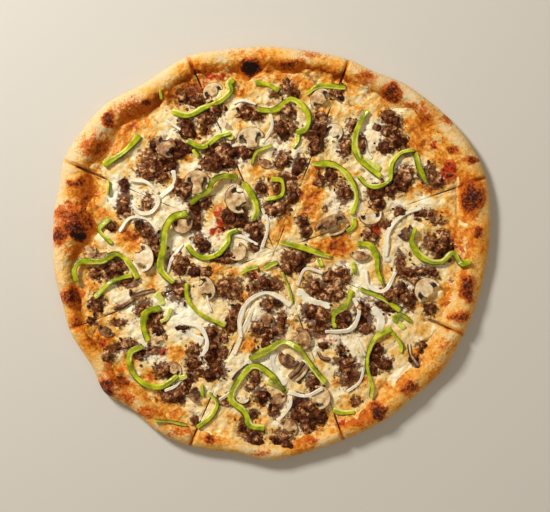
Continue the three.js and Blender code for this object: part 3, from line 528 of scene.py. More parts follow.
class Finish:
    """A material: its shader, and short calls for the nodes that feed it."""

    def __init__(self, name, **settings):
        self.material = bpy.data.materials.new(name)
        self.material.use_nodes = True
        self.tree = self.material.node_tree
        self.shader = self.tree.nodes["Principled BSDF"]
        self.feed(self.shader, **settings)
        self.place = self.node("TexCoord").outputs["Object"]

    def feed(self, node, *values, **named):
        """Links or sets a node's sockets, by number or by name, with _ for a space in the name."""
        sockets = list(zip(node.inputs, values))
        sockets += [(node.inputs[name.replace("_", " ")], value) for name, value in named.items()]
        for socket, value in sockets:
            if isinstance(value, bpy.types.NodeSocket):
                self.tree.links.new(value, socket)
            else:
                socket.default_value = value

    def node(self, kind, *values, **named):
        node = self.tree.nodes.new("ShaderNode" + kind)
        self.feed(node, *values, **named)
        return node

    def mask(self, name):
        node = self.node("Attribute")
        node.attribute_name = name
        return node.outputs["Fac"]

    def speckle(self, size, detail=3.0, roughness=0.55, distortion=0.0):
        """Noise of a size in metres, from 0 to 1."""
        settings = {"Detail": detail, "Roughness": roughness, "Distortion": distortion}
        node = self.node("TexNoise", Vector=self.place, Scale=1 / size, **settings)
        return node.outputs["Fac"]

    def math(self, operation, a, b=0.0):
        node = self.node("Math", a, b)
        node.operation = operation
        return node.outputs[0]

    def centred(self, *noise):
        """Noise from -0.5 to 0.5."""
        return self.math("SUBTRACT", self.speckle(*noise), 0.5)

    def total(self, *parts):
        """The sum of (value, weight) parts."""
        result = 0.0
        for value, weight in parts:
            result = self.math("ADD", self.math("MULTIPLY", value, weight), result)
        return result

    def step(self, value, low, high):
        """0 below `low`, 1 above `high`, eased between."""
        node = self.node("MapRange", Value=value, From_Min=low, From_Max=high)
        node.interpolation_type = "SMOOTHSTEP"
        return node.outputs["Result"]

    def blend(self, share, under, over):
        node = self.node("Mix")
        node.data_type = "RGBA"
        self.feed(node, Factor=share, A=under, B=over)
        return node.outputs["Result"]

    def lay(self, under, over, mask, size, amount, low, high, detail=4.0, most=1.0):
        """`over` laid on `under` where a mask, frayed by noise of a size and an amount, steps from
        `low` to `high`; it covers by `most` at most."""
        fray = self.math("MULTIPLY", self.centred(size, detail), amount)
        share = self.step(self.math("ADD", self.mask(mask), fray), low, high)
        if most < 1:
            share = self.math("MULTIPLY", share, most)
        return self.blend(share, under, over)

    def ramp(self, value, *stops):
        """A colour for each value: `stops` are (value, red, green, blue), blended between."""
        node = self.node("ValToRGB", Fac=value)
        elements = node.color_ramp.elements
        while len(elements) < len(stops):
            elements.new(0.5)
        for element, (position, *colour) in zip(elements, stops):
            element.position = position
            element.color = rgb(*colour)
        return node.outputs["Color"]

    def done(self, colour, *bumps):
        """The material, with its colour, and bumps of (height, depth in metres) on one another."""
        self.feed(self.shader, Base_Color=colour)
        for height, depth in bumps:
            node = self.node("Bump", Height=height, Distance=depth)
            before = self.shader.inputs["Normal"].links
            if before:
                self.feed(node, Normal=before[0].from_socket)
            self.feed(self.shader, Normal=node.outputs["Normal"])
        return self.material


def crust_finish():
    """Baked dough, pale to golden to orange, brown and charred with the mask `bake` and noise."""
    f = Finish("baked_dough", Roughness=0.45, Specular_IOR_Level=0.16)
    broad = f.centred(0.007, 6, 0.62, 0.4)
    fine = f.centred(0.0024, 4, 0.6)
    baked = f.ramp(
        f.total((f.mask("bake"), 1.0), (broad, 0.65), (fine, 0.5)),
        (0.00, 230, 208, 168), (0.16, 240, 209, 155), (0.32, 244, 194, 108),
        (0.46, 240, 165, 60), (0.60, 218, 122, 26), (0.76, 164, 68, 10), (1.00, 88, 30, 8),
    )
    freckle = f.math("MULTIPLY", f.step(f.speckle(0.0026, 3, 0.6), 0.6, 0.7), f.mask("freckle"))
    freckled = f.blend(freckle, baked, rgb(140, 58, 12))
    burn = f.total((f.mask("burnt"), 1.0), (broad, 0.9), (fine, 0.95))
    brown = f.blend(f.step(burn, 0.12, 0.55), freckled, rgb(210, 104, 20))
    flakes = f.speckle(0.003, 4, 0.7)
    blistered = f.ramp(flakes, (0.4, 66, 18, 6), (0.5, 118, 38, 8), (0.62, 190, 96, 26))
    dark = f.blend(f.step(burn, 0.5, 0.8), brown, blistered)
    charred = f.blend(f.step(burn, 0.88, 1.2), dark, rgb(36, 16, 10))
    near, far = f.speckle(0.0016, 4, 0.6), f.speckle(0.005, 5, 0.6)
    return f.done(charred, (near, 0.001), (far, 0.0016))


def cheese_finish():
    """Melted cheese, white to cream to tan and browned with the mask `bake` and noise; sauce shows
    red, meat juice and painted shade darken it brown round the beef, and oil and painted shade
    darken its dips. Oil makes parts of it shine."""
    f = Finish("melted_cheese", Specular_IOR_Level=0.25, Coat_Weight=0.04)
    broad = f.centred(0.013, 6, 0.6, 0.6)
    crisp = f.step(f.total((f.mask("bake"), 1.0), (broad, 1.0)), 0.34, 0.6)
    fine = f.math("MULTIPLY", f.centred(0.0042, 5, 0.6), f.total((crisp, 0.75), (0.3, 1.0)))
    clean = f.ramp(
        f.total((f.mask("bake"), 1.0), (broad, 1.05), (fine, 1.0)),
        (0.00, 255, 246, 220), (0.22, 252, 233, 188), (0.36, 244, 210, 140),
        (0.48, 238, 180, 84), (0.61, 232, 146, 36), (0.82, 190, 88, 12), (1.00, 96, 34, 4),
    )
    speck = f.math("MULTIPLY", f.step(f.speckle(0.0032, 4, 0.65), 0.57, 0.66), crisp)
    baked = f.blend(f.math("MULTIPLY", speck, 0.4), clean, rgb(112, 46, 8))
    # Meat juice and painted shadow: darker brown in a halo round each beef crumble.
    juiced_and_shaded = f.lay(baked, rgb(92, 40, 8), "juice_and_shade", 0.0034, 1.7, 0.24, 0.62, most=0.9)
    # Oil and painted shade: orange-brown in the dips between the cheese's lumps.
    oiled_and_shaded = f.lay(juiced_and_shaded, rgb(136, 66, 14), "dip", 0.003, 1.4, 0.3, 0.75, most=0.7)
    red = f.ramp(f.speckle(0.004, 5, 0.65), (0.38, 116, 10, 0), (0.62, 224, 84, 22))
    shine = f.step(f.speckle(0.006, 3), 0.35, 0.65)
    f.feed(f.shader, Roughness=f.total((shine, 0.3), (0.24, 1.0)))
    return f.done(
        f.lay(oiled_and_shaded, red, "sauce", 0.0045, 1.8, 0.4, 0.85, detail=6),
        (f.math("MULTIPLY", f.speckle(0.0018, 3, 0.5), crisp), 0.0005),
        (f.speckle(0.0055, 4, 0.55), 0.0012),
    )


def beef_finish():
    """Browned ground beef, brown with greyer and redder fat, and painted light and shade: near
    black in its creases, paler on its bumps.
    """
    f = Finish("browned_beef", Roughness=0.34, Specular_IOR_Level=0.13)
    noise = f.speckle(0.006, 6, 0.72, 0.5)
    # The crease mask paints shade into the creases and light onto the bumps.
    brown = f.ramp(
        f.total((noise, 1.6), (f.mask("crease"), 0.45), (f.mask("tone"), 0.2), (-0.4, 1.0)),
        (0.42, 30, 5, 0), (0.56, 58, 20, 0), (0.70, 96, 44, 12),
        (0.84, 148, 94, 52), (1.00, 240, 194, 144),
    )
    return f.done(brown, (f.speckle(0.0014, 4, 0.65), 0.0005), (f.speckle(0.0032, 4, 0.6), 0.0016))


def mushroom_finish():
    """Baked mushroom: cream flesh, a thin brown skin and dark gills."""
    f = Finish("baked_mushroom", Roughness=0.42, Subsurface_Weight=0.05, Subsurface_Scale=0.002)
    flesh = f.ramp(
        f.total((f.speckle(0.005, 5, 0.6), 0.7), (f.mask("roast"), 0.66)),
        (0.34, 250, 232, 194), (0.50, 226, 190, 134), (0.66, 166, 112, 60), (0.84, 76, 40, 16),
    )
    gills = f.lay(flesh, rgb(44, 20, 6), "gill", 0.0022, 1.1, 0.15, 0.8)
    skin = f.lay(gills, rgb(118, 70, 34), "skin", 0.002, 0.4, 0.3, 0.7)
    return f.done(skin, (f.speckle(0.0016, 4, 0.6), 0.0006))


def pepper_finish():
    """Green pepper: lime flesh between a darker skin on one side and a paler inner wall."""
    gloss = {"Specular_IOR_Level": 0.45, "Coat_Weight": 0.15, "Coat_Roughness": 0.12}
    f = Finish("green_pepper", Roughness=0.26, **gloss)
    tones = (0.32, 120, 138, 2), (0.5, 176, 182, 12), (0.68, 214, 214, 44)
    flesh = f.ramp(f.speckle(0.009, 4), *tones)
    pale = f.lay(flesh, rgb(228, 228, 118), "inside", 0.004, 0.6, 0.4, 0.9)
    skin = f.lay(pale, rgb(84, 96, 2), "skin", 0.003, 0.4, 0.1, 0.7)
    roasted = f.lay(skin, rgb(84, 64, 6), "roast", 0.005, 0.6, 0.3, 0.9)
    return f.done(roasted, (f.speckle(0.0028, 3, 0.5), 0.0006))


def onion_finish():
    """Onion: white and a little clear, with fine lengthwise ribs."""
    f = Finish("white_onion", Roughness=0.22, Subsurface_Weight=0.2, Subsurface_Scale=0.002)
    flesh = f.ramp(f.speckle(0.006, 3), (0.3, 255, 250, 234), (0.7, 244, 226, 188))
    toasted = f.lay(flesh, rgb(220, 176, 108), "roast", 0.004, 0.5, 0.4, 1.0)
    return f.done(toasted, (f.mask("rib"), 0.0004))


# ---- the surface of the pie

edge = smooth_curve(on_pie(OUTLINE), True, 20)
edge_angle = np.arctan2(edge[:, 1], edge[:, 0])
edge_radius = np.hypot(edge[:, 0], edge[:, 1]) - EDGE_INSET


def outline_radius(angle):
    """Distance from the middle to the outer edge, read along the curve by angle."""
    return np.interp(angle, edge_angle, edge_radius, period=2 * math.pi)


def rim_width(angle):
    """Width of the rim, eased from one measured width to the next."""
    at = np.radians([place for place, _ in RIM_WIDTHS])
    width = np.array([size for _, size in RIM_WIDTHS]) * MM
    at = np.append(at, at[0] + 2 * math.pi)
    width = np.append(width, width[0])
    turned = (angle - at[0]) % (2 * math.pi) + at[0]
    i = np.clip(np.searchsorted(at, turned, side="right") - 1, 0, len(at) - 2)
    share = ease((turned - at[i]) / (at[i + 1] - at[i]))
    return width[i] + (width[i + 1] - width[i]) * share


def rim_share(x, y):
    """0 at the outer edge, 1 where the rim meets the flat of the pie, held between."""
    angle = np.arctan2(y, x)
    return np.clip((outline_radius(angle) - np.hypot(x, y)) / rim_width(angle), 0, 1)


def crust_height(x, y):
    """The crust's upper side: a flat base, and a rim that rises by a quarter ellipse to its crest
    and falls by half a cosine wave, with domed blisters and layered noise on it."""
    share = rim_share(x, y)
    base = BASE_THICKNESS + BASE_RELIEF * waves(x, y, 60 * MM)
    crest = RIM_HEIGHT + RIM_SWELL * waves(x, y, 75 * MM)
    outside = np.sqrt(1 - np.maximum(0, 1 - share / RIM_CREST) ** 2)
    inside = (1 + np.cos(math.pi * (share - RIM_CREST) / (1 - RIM_CREST))) / 2
    rising = RIM_WIDEST + (crest - RIM_WIDEST) * outside
    rim = np.where(share < RIM_CREST, rising, base + (crest - base) * inside)
    blister = 0
    for oval in BLISTERS:
        across, along = from_oval(x, y, oval)
        blister = blister + oval[4] * MM * np.maximum(0, 1 - across**2 - along**2)
    held = np.clip(share * 6, 0, 1)
    rough = 0.8 * MM * layered(x, y, 0, 13 * MM, seed=3, layers=4)
    bubbles = 1.3 * MM * (0.45 - cells(np.stack([x, y], -1), BUBBLE, 2))
    rough = rough + bubbles * ease((share - 0.25) * 4)
    return rim + blister * held + rough * (ease((1 - share) * 2.5) * held)


def melted_lumps(x, y):
    """Lumps of melted cheese: layered noise, and cells that dip where they meet."""
    lumps = 1.0 * MM * layered(x, y, 0, 9 * MM, seed=11, layers=4)
    bent = np.stack([x, y], -1) + 2.5 * MM * grain(x, y, 0, 8 * MM, 13)[..., None]
    return lumps + 1.4 * MM * (0.5 - cells(bent, 7 * MM, 4))


def cheese_height(x, y):
    """The melted cheese's upper side: the crust's, a thickness, and soft lumps of melted cheese."""
    relief = waves(x, y, 24 * MM) + 0.6 * waves(y, x, 11 * MM)
    return crust_height(x, y) + CHEESE_THICKNESS + CHEESE_RELIEF * relief + melted_lumps(x, y)


# ---- slices

hub = on_pie(HUB)
cut_angles = np.arctan2(*(on_pie(CUT_ENDS) - hub).T[::-1])


def on_rays(tip, angles, along):
    """x and y at distances `along` rays from a slice's tip."""
    return tip[0] + np.cos(angles) * along, tip[1] + np.sin(angles) * along


def ray_lengths(tip, angles):
    """Length of each ray from a slice's tip to the outer edge, found by stepping to it."""
    length = np.full(len(angles), 0.22)
    for _ in range(14):
        x, y = on_rays(tip, angles, length)
        length = length + outline_radius(np.arctan2(y, x)) - np.hypot(x, y)
    return length


def slice_rays(i, columns, kerf):
    """Tip, headings, lengths and rim widths of slice i's rays, closest together at its sides. The
    tip and the sides are half a kerf off the middles of the cuts."""
    start = cut_angles[i]
    stop = start - (start - cut_angles[(i + 1) % len(cut_angles)]) % (2 * math.pi)
    middle = (start + stop) / 2
    inset = kerf / 2 / math.sin((start - stop) / 2)
    tip = hub + inset * np.array([math.cos(middle), math.sin(middle)])
    even = np.linspace(0, 1, columns)
    angles = start + (stop - start) * (even - 0.5 * np.sin(2 * math.pi * even) / (2 * math.pi))
    length = ray_lengths(tip, angles)
    x, y = on_rays(tip, angles, length)
    return tip, angles, length, rim_width(np.arctan2(y, x))


def from_side(angles, along, at=None):
    """Distance from the nearer cut side, of points at a heading and a distance from the tip."""
    at = angles if at is None else at
    return np.minimum(np.sin(angles[0] - at), np.sin(at - angles[-1])) * along


def pull_in(grid, angles, along, shift, reach):
    """Moves a slice's points away from the nearer cut by `shift`, which fades out over `reach`."""
    shift = shift * (1 - ease(from_side(angles, along) / reach))
    first = angles > (angles[0] + angles[-1]) / 2
    heading = np.where(first, angles[0], angles[-1])
    turned = np.where(first, -1, 1)
    grid[..., 0] -= np.sin(heading) * shift * turned
    grid[..., 1] += np.cos(heading) * shift * turned


def pressed(share):
    """How many millimetres the slices press together under the rim. `share` is 0 at the outer edge
    and 1 at the flat."""
    return 0.45 * ease((1.2 - share) / 0.3)


def cut_gap(share, x, y):
    """How far a cut side stands back from the slice's side: the slices touch at the outer edge and
    part on the rim's inner slope, unevenly by noise."""
    parted = ease((share - 0.2) / 0.4) * ease((1.25 - share) / 0.3)
    uneven = 0.8 + 1.0 * grain(x, y, 0, 30 * MM, 43)
    return MM * (parted * uneven - pressed(share))


def side_wall(lower, upper, steps, roughness=0.0, normal=0.0):
    """A cut side: straight between two edges, roughened along its normal by noise."""
    share = np.linspace(0, 1, steps)[:, None, None]
    wall = lower[None] * (1 - share) + upper[None] * share
    dent = (grain(*np.moveaxis(wall, -1, 0), 2.2 * MM, 5) + 1) / 2 * np.sin(np.pi * share[..., 0])
    return wall + normal * roughness * dent[..., None]


def slice_height(x, y, beside):
    """The crust's upper side on a slice: its rim is rounded over within 3.5 mm of a cut."""
    height = crust_height(x, y)
    drop = 3 * MM * (1 - ease(beside / (3.5 * MM)))
    return height - drop * np.clip((height - RIM_WIDEST) / (5 * MM), 0, 1)


def crust_masks(x, y, z, beside):
    """How baked, burnt and freckled the crust is: browner from the outer edge to the inner slope,
    by the angle round the pie, and patchy by layered noise. `bake` also holds painted light and
    shade: the outer side paler towards the key lamp, partly a lighter bake; the inner slope paler
    near its crest towards the top, which the lamp leaves in shade; painted shade in the hollows
    between bubbles and along the cuts."""
    share = rim_share(x, y)
    above = ease((z - 1 * MM) / (RIM_WIDEST + 2 * MM))
    slope = np.interp(share, [0, 0.3, 0.5, 0.8, 1], [0.24, 0.34, 0.5, 0.6, 0.54])
    # Paler outer side towards PALE_SIDE: partly a lighter bake, partly painted light where the key
    # lamp falls.
    slope = slope + (0.03 - 0.18 * towards(x, y, PALE_SIDE)) * (1 - ease(share / 0.45))
    slope = slope + 0.13 * towards(x, y, BROWN_SIDE) * ease((share - 0.45) / 0.35)
    # Painted light: the inner slope near the crest is paler towards the top of the pie, where the
    # key lamp leaves it in shade.
    far = np.clip(y / (150 * MM), 0, 1)
    slope = slope - 0.13 * far * ease(1 - np.abs(share - 0.43) / 0.25)
    patchy = 0.26 * layered(x, y, 0, 30 * MM, seed=17) * np.clip(share * 5, 0.4, 1)
    # Painted shade: darker along the cuts, where the gaps between slices lie in shade.
    toasted = 0.3 * (1 - ease(beside / (2.2 * MM))) * above
    # Painted shade: darker in the hollows between the rim's bubbles, where the cells meet.
    hollow_shade = 0.25 * (cells(np.stack([x, y], -1), BUBBLE, 2) - 0.55) * ease((share - 0.25) * 4)
    return {
        "bake": slope * above + 0.24 * (1 - above) + patchy + hollow_shade + toasted,
        "burnt": spots(x, y, BROWNED, 1.5, 3.5 * MM) * above,
        "freckle": 0.3 * above * ease(0.4 + 1.5 * layered(x, y, 0, 30 * MM, seed=27)),
    }


def make_crust(i, material):
    """Slice i's crust: rows run from the tip over the flat, up the rim's inner slope, over its
    crest and down to the widest point. The under side takes as many rows, flat and then a quarter
    circle. The rim's top edges are rounded over at the cuts, which narrow downwards to a V."""
    tip, angles, length, width = slice_rays(i, 172, KERF)
    flat = (np.linspace(0, 1, 22) ** 0.8)[:-1, None] * (length - width)
    slope = length - np.linspace(1, RIM_CREST, 52)[:-1, None] * width
    turn = np.linspace(0, math.pi / 2, 32)[:, None]
    outer = length - RIM_CREST * (1 - np.sin(turn)) * width
    along = np.concatenate([flat, slope, outer])
    x, y = on_rays(tip, angles, along)
    top = stacked(x, y, slice_height(x, y, from_side(angles, along)))
    pull_in(top, angles, along, cut_gap((length - along) / width, x, y), PULL_REACH)

    roll = np.linspace(0, math.pi / 2, 15)[:, None]
    bend = length - RIM_UNDERCUT * (1 - np.sin(roll))
    crest = length - RIM_CREST * width
    run = np.linspace(0, 1, len(outer) - len(roll) + 1)[:-1, None]
    straight = crest + (length - RIM_UNDERCUT - crest) * run
    along = np.concatenate([flat, slope, straight, bend])
    lift = np.zeros((len(along), 1))
    lift[-len(roll) :] = RIM_WIDEST * (1 - np.cos(roll))
    bottom = stacked(*on_rays(tip, angles, along), lift)
    pull_in(bottom, angles, along, -MM * pressed((length - along) / width), PULL_REACH)
    top[-1] = bottom[-1]

    walls = []
    for column, side in ((0, -1), (-1, 1)):
        inward = np.array([-math.sin(angles[column]), math.cos(angles[column]), 0]) * side
        walls.append(side_wall(bottom[:, column], top[:, column], 6, 0.5 * MM, inward))
    points, triangles, _ = sewn([top, *thinned(bottom), *walls])
    x, y, z = points.T
    off_tip = x - tip[0], y - tip[1]
    beside = from_side(angles, np.hypot(*off_tip), np.arctan2(*off_tip[::-1]))
    masks = crust_masks(x, y, z, beside)
    name = f"crust_{i + 1}"
    new_piece(name, points, triangles, masks, material, [name])


def cheese_masks(x, y):
    """How baked the cheese is, where sauce lies on it, where meat juice and painted shade darken it
    round the beef, and where oil and painted shade darken its dips: browner on its lumps, in the
    toasted spots and towards the rim, mottled by layered noise."""
    reach = outline_radius(np.arctan2(y, x)) - np.hypot(x, y)
    near_rim = ease((58 * MM - reach) / (28 * MM))
    lumps = melted_lumps(x, y)
    bake = 0.27 + 0.2 * layered(x, y, 0, 22 * MM, seed=31, layers=4) + 35 * lumps
    bake = bake + 0.4 * spots(x, y, TOASTED, 1, 3 * MM) - 0.24 * spots(x, y, WHITE)
    sauce = 0.92 * spots(x, y, SAUCE, 1, 3 * MM) + 0.4 * layered(x, y, 0, 12 * MM, seed=41)
    return {
        "bake": bake + (0.18 + 0.13 * towards(x, y, BROWN_SIDE)) * near_rim,
        "sauce": sauce,
        # A halo round each crumble: meat juice and painted shadow.
        "juice_and_shade": spots(x, y, [[a, b, c * 1.5, d * 1.5, 1] for a, b, c, d in BEEF]),
        # The dips between lumps: oil and painted shade.
        "dip": ease((-lumps / MM - 0.25) / 0.9),
    }


def make_cheese(i, material):
    """Slice i's cheese: a skin over the crust that thins out unevenly on the rim's inner slope,
    where it dips under the crust's surface. It sags towards the cuts, and its sides wander."""
    tip, angles, length, width = slice_rays(i, 181, CHEESE_KERF)
    flat = (np.linspace(0, 1, 150) ** 0.9)[:-1, None] * (length - width)
    slope = length - np.linspace(1, 0.45, 40)[:, None] * width
    along = np.concatenate([flat, slope])
    beside = from_side(angles, along)

    x, y = on_rays(tip, angles, along)
    fray = 0.2 * layered(x, y, 0, 16 * MM, seed=21, layers=4)
    puffed = spots(x, y, [[a, b, c * 0.9, d * 0.9, 1] for a, b, c, d, _ in BLISTERS])
    left = ease((rim_share(x, y) - 0.58 + fray - 0.6 * puffed) / 0.38)
    crust = slice_height(x, y, beside)
    sag = 0.3 * MM * (1 - ease(beside / (2 * MM)))
    rise = cheese_height(x, y) - crust_height(x, y)
    top = stacked(x, y, crust - 0.6 * MM + (rise + 0.6 * MM - sag) * left)
    bottom = stacked(x, y, crust - 0.9 * MM)

    before = (length - along) / width
    wander = MM * np.clip(1.1 * grain(x, y, 0, 14 * MM, 23) + 0.1, 0, 0.9)
    for grid in (top, bottom):
        pull_in(grid, angles, along, wander * ease(along / (20 * MM)), 3 * MM)
        apart = 0.6 * MM * ease((1.3 - before) / 0.3)
        apart = apart + cut_gap(before, grid[..., 0], grid[..., 1])
        pull_in(grid, angles, along, apart, PULL_REACH)
    walls = [side_wall(bottom[:, column], top[:, column], 4) for column in (0, -1)]
    end = np.stack([bottom[-1], top[-1]])
    points, triangles, _ = sewn([top, *thinned(bottom), *walls, end])
    name = f"cheese_{i + 1}"
    new_piece(name, points, triangles, cheese_masks(*points.T[:2]), material, [name])


# ---- beef


def lump_shell(rounds, rings):
    """Directions of a ball's points: rings from pole to pole, closed at both."""
    down = np.linspace(0, math.pi, rings)[:, None]
    turn = np.linspace(0, 2 * math.pi, rounds + 1)[None]
    shell = stacked(np.sin(down) * np.cos(turn), np.sin(down) * np.sin(turn), np.cos(down))
    shell[:, -1] = shell[:, 0]
    shell[[0, -1], :, :2] = 0
    return shell


def make_lumps(name, centres, sizes, rounds, rings, material):
    """Craggy lumps: a ball each, flattened, its radius swollen by noise of two sizes, and by cells
    that crease where they meet."""
    shell = lump_shell(rounds, rings)
    centres, sizes = centres[:, None, None], sizes[:, None, None]
    first = centres + shell * sizes
    x, y, z = np.moveaxis(first, -1, 0)
    bent = first + 1.8 * MM * grain(x, y, z, 4 * MM, 8)[..., None]
    flakes, granules = cells(bent, 7.6 * MM, 1), cells(bent, 3.6 * MM, 3)
    swell = 1.02 + 0.6 * grain(x, y, z, 6.5 * MM, 2) + 0.28 * grain(x, y, z, 2.4 * MM, 4)
    swell = swell + 0.3 * (0.5 - flakes) + 0.24 * (0.5 - granules)
    points = centres + shell * sizes * np.clip(swell, 0.5, 1.5)[..., None]
    # Painted light and shade for the beef: low in the creases where cells meet, high on the bumps.
    painted_crease_shade = 1 - 0.5 * flakes - 0.5 * granules
    tones = np.random.default_rng(3).random(len(points))
    values = [{"crease": a, "tone": b + 0 * a} for a, b in zip(painted_crease_shade, tones)]
    joined_piece(name, list(points), values, material, [])


def crumble_places(smallest, largest):
    """Places and half sizes of the crumbles whose reach in pixels is from `smallest` to below
    `largest`; each is sunk partly into the cheese."""
    rows = np.array(BEEF, float)
    x, y = on_pie(rows).T
    wide, tall = rows[:, 2] * PIXEL, rows[:, 3] * PIXEL
    thick = np.clip(0.55 * np.minimum(wide, tall), 1.9 * MM, 3.8 * MM)
    sunk = -0.25 + 0.45 * np.random.default_rng(19).random(len(rows))
    centres = stacked(x, y, cheese_height(x, y) + thick * sunk)
    reach = rows[:, 2:].max(-1)
    chosen = (reach >= smallest) & (reach < largest)
    return centres[chosen], stacked(wide, tall, thick)[chosen]


def topped_height(x, y):
    """The cheese's upper side, or that of the crumbles' ovals where they stand higher."""
    centres, sizes = crumble_places(0, LARGEST)
    across = (x[:, None] - centres[:, 0]) / sizes[:, 0]
    along = (y[:, None] - centres[:, 1]) / sizes[:, 1]
    dome = np.sqrt(np.maximum(0, 1 - across**2 - along**2))
    beef = np.where(dome > 0, centres[:, 2] + sizes[:, 2] * dome, 0).max(-1)
    return np.maximum(cheese_height(x, y), beef - 0.6 * MM)


def crumb_places(count):
    """Small crumbs round the crumbles, by a seeded draw."""
    draw = np.random.default_rng(5)
    rows = np.array(BEEF, float)[draw.integers(0, len(BEEF), count)]
    angle = draw.random(count) * 2 * math.pi
    reach = rows[:, 2:].mean(-1) * (0.9 + 1.2 * draw.random(count))
    round_them = np.stack([np.cos(angle), np.sin(angle)], -1) * reach[:, None] * PIXEL
    x, y = (on_pie(rows) + round_them).T
    kept = rim_share(x, y) > 0.9
    radius = (0.9 + 1.5 * draw.random(count) ** 2) * PIXEL
    stretch = np.exp(0.9 * (draw.random(count) - 0.5))
    centres = stacked(x, y, cheese_height(x, y) + 0.2 * radius)
    return centres[kept], stacked(radius * stretch, radius / stretch, radius * 0.75)[kept]


# ---- strips


def node_tops(node, x, y):
    """Height of a solid's upper side under each place, filled in where a place misses it."""
    tree = BVHTree.FromObject(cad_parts[node], bpy.context.evaluated_depsgraph_get())
    down = Vector((0, 0, -1))
    hits = [tree.ray_cast(Vector((a, b, 0.1)), down)[0] for a, b in zip(x, y)]
    found = np.array([hit.z if hit else np.nan for hit in hits])
    known = np.flatnonzero(~np.isnan(found))
    return np.interp(np.arange(len(found)), known, found[known])


def strip_rest(node, height, sink, x, y):
    """Height of a strip's under side: sunk a little into the cheese and beef, or where its solid
    lies if that is higher."""
    if not node:
        return topped_height(x, y) - sink
    return np.maximum(node_tops(node, x, y) - height - sink, topped_height(x, y) - 0.2 * MM)


def softened(values, reach):
    """Running mean over `reach` samples to each side, with the ends held."""
    held = np.pad(values, reach, mode="edge")
    return np.convolve(held, np.ones(2 * reach + 1) / (2 * reach + 1), mode="valid")


def strip_shell(places, width, height, node, sink, seed):
    """A strip: an oval section with squarish corners, carried along a smooth path, that closes at
    both ends by a quarter circle. It rolls, swells and thins along its length by noise."""
    path = smooth_curve(on_pie(np.reshape(places, (-1, 2))), False, 24)
    run = path_run(path)
    total = run[-1]
    blunt = min(0.26 * width, total / 4)
    closing = np.array([0, 0.02, 0.1, 0.3, 0.62]) * blunt
    inner = np.linspace(blunt, total - blunt, max(6, round(total / STRIP_STEP)))
    distance = np.concatenate([closing, inner, total - closing[::-1]])
    x, y = (np.interp(distance, run, side) for side in path.T)
    to_end = np.clip(np.minimum(distance, total - distance) / blunt, 0, 1)
    taper = np.sqrt(1 - (1 - to_end) ** 2)
    heading = np.unwrap(np.arctan2(np.gradient(y), np.gradient(x)))
    convex = -np.sign(heading[-1] - heading[0]) or 1
    z = softened(strip_rest(node, height, sink, x, y), 4) + height / 2
    z = z + 0.5 * MM * grain(x, y, 0, 17 * MM, seed + 1)
    size = ((0.95 + 0.34 * grain(x, y, 0, 12 * MM, seed)) * taper)[:, None]
    roll = 0.45 * grain(x, y, 0, 20 * MM, seed + 3)[:, None]

    angle = np.linspace(0, 2 * math.pi, STRIP_AROUND + 1)[None]
    across = np.sign(np.cos(angle)) * np.abs(np.cos(angle)) ** 0.75
    upward = np.sign(np.sin(angle)) * np.abs(np.sin(angle)) ** 0.7
    upward = upward - 0.3 * np.maximum(0, upward) * np.exp(-(((across + 0.15) / 0.35) ** 2))
    x, y, z, heading = x[:, None], y[:, None], z[:, None], heading[:, None]
    side = across * (width / 2) * size
    lift = upward * (height / 2) * size
    ragged = 1 + 0.13 * grain(x + side, y + lift, 0, 4 * MM, seed + 5)
    turned = (side * np.cos(roll) - lift * np.sin(roll)) * ragged
    raised = (side * np.sin(roll) + lift * np.cos(roll)) * ragged
    grid = stacked(x - np.sin(heading) * turned, y + np.cos(heading) * turned, z + raised)
    return sealed(grid), across * convex + 0 * side


def make_strips(name, kinds, sink, material, masks):
    """All strips of one topping. Each kind is (strips, sizes, name of its nodes or ""): a strip
    with a node lies where its solid lies, and one without lies on the cheese."""
    shells, values, nodes = [], [], []
    for strips, (width, height, widths, pale), prefix in kinds:
        for number, places in enumerate(strips, 1):
            node = prefix and f"{prefix}_{number}"
            wide = width * widths.get(number, 1)
            seed = number + 7 * len(strips)
            grid, across = strip_shell(places, wide, height, node, sink, seed)
            shells.append(grid)
            values.append(masks(grid[..., 0], grid[..., 1], across, pale))
            if node:
                nodes.append(node)
    joined_piece(name, shells, values, material, nodes)


def pepper_masks(x, y, across, pale):
    """The skin is the outer side of the bend, the pale wall the inner side; parts are roasted."""
    inside = ease((-across - 0.1) / 0.5) * ease(0.5 + 1.2 * grain(x, y, 0, 15 * MM, 63))
    skin = ease((np.abs(across) - 0.42) / 0.4) * np.where(across > 0, 1.0, 0.25) * (1 - pale)
    return {
        "skin": skin * ease(0.55 + 1.1 * grain(x, y, 0, 16 * MM, 65)),
        "inside": np.maximum(inside, pale),
        "roast": 0.5 * layered(x, y, 0, 24 * MM, seed=61) + 0.12,
    }


def onion_masks(x, y, across, pale):
    """Ribs run lengthwise, and parts are toasted."""
    roast = 0.45 * layered(x, y, 0, 20 * MM, seed=71) + 0.05
    return {"rib": 0.5 + 0.5 * np.sin(across * 9), "roast": roast}


def edge_masks(x, y, across, pale):
    """A mushroom slice on edge: the skin along one side, dark gills along the other."""
    roast = 0.4 + 0.4 * grain(x, y, 0, 9 * MM, 83)
    return {"skin": ease((-across - 0.5) / 0.4), "gill": ease((across - 0.1) / 0.4), "roast": roast}


# ---- mushrooms


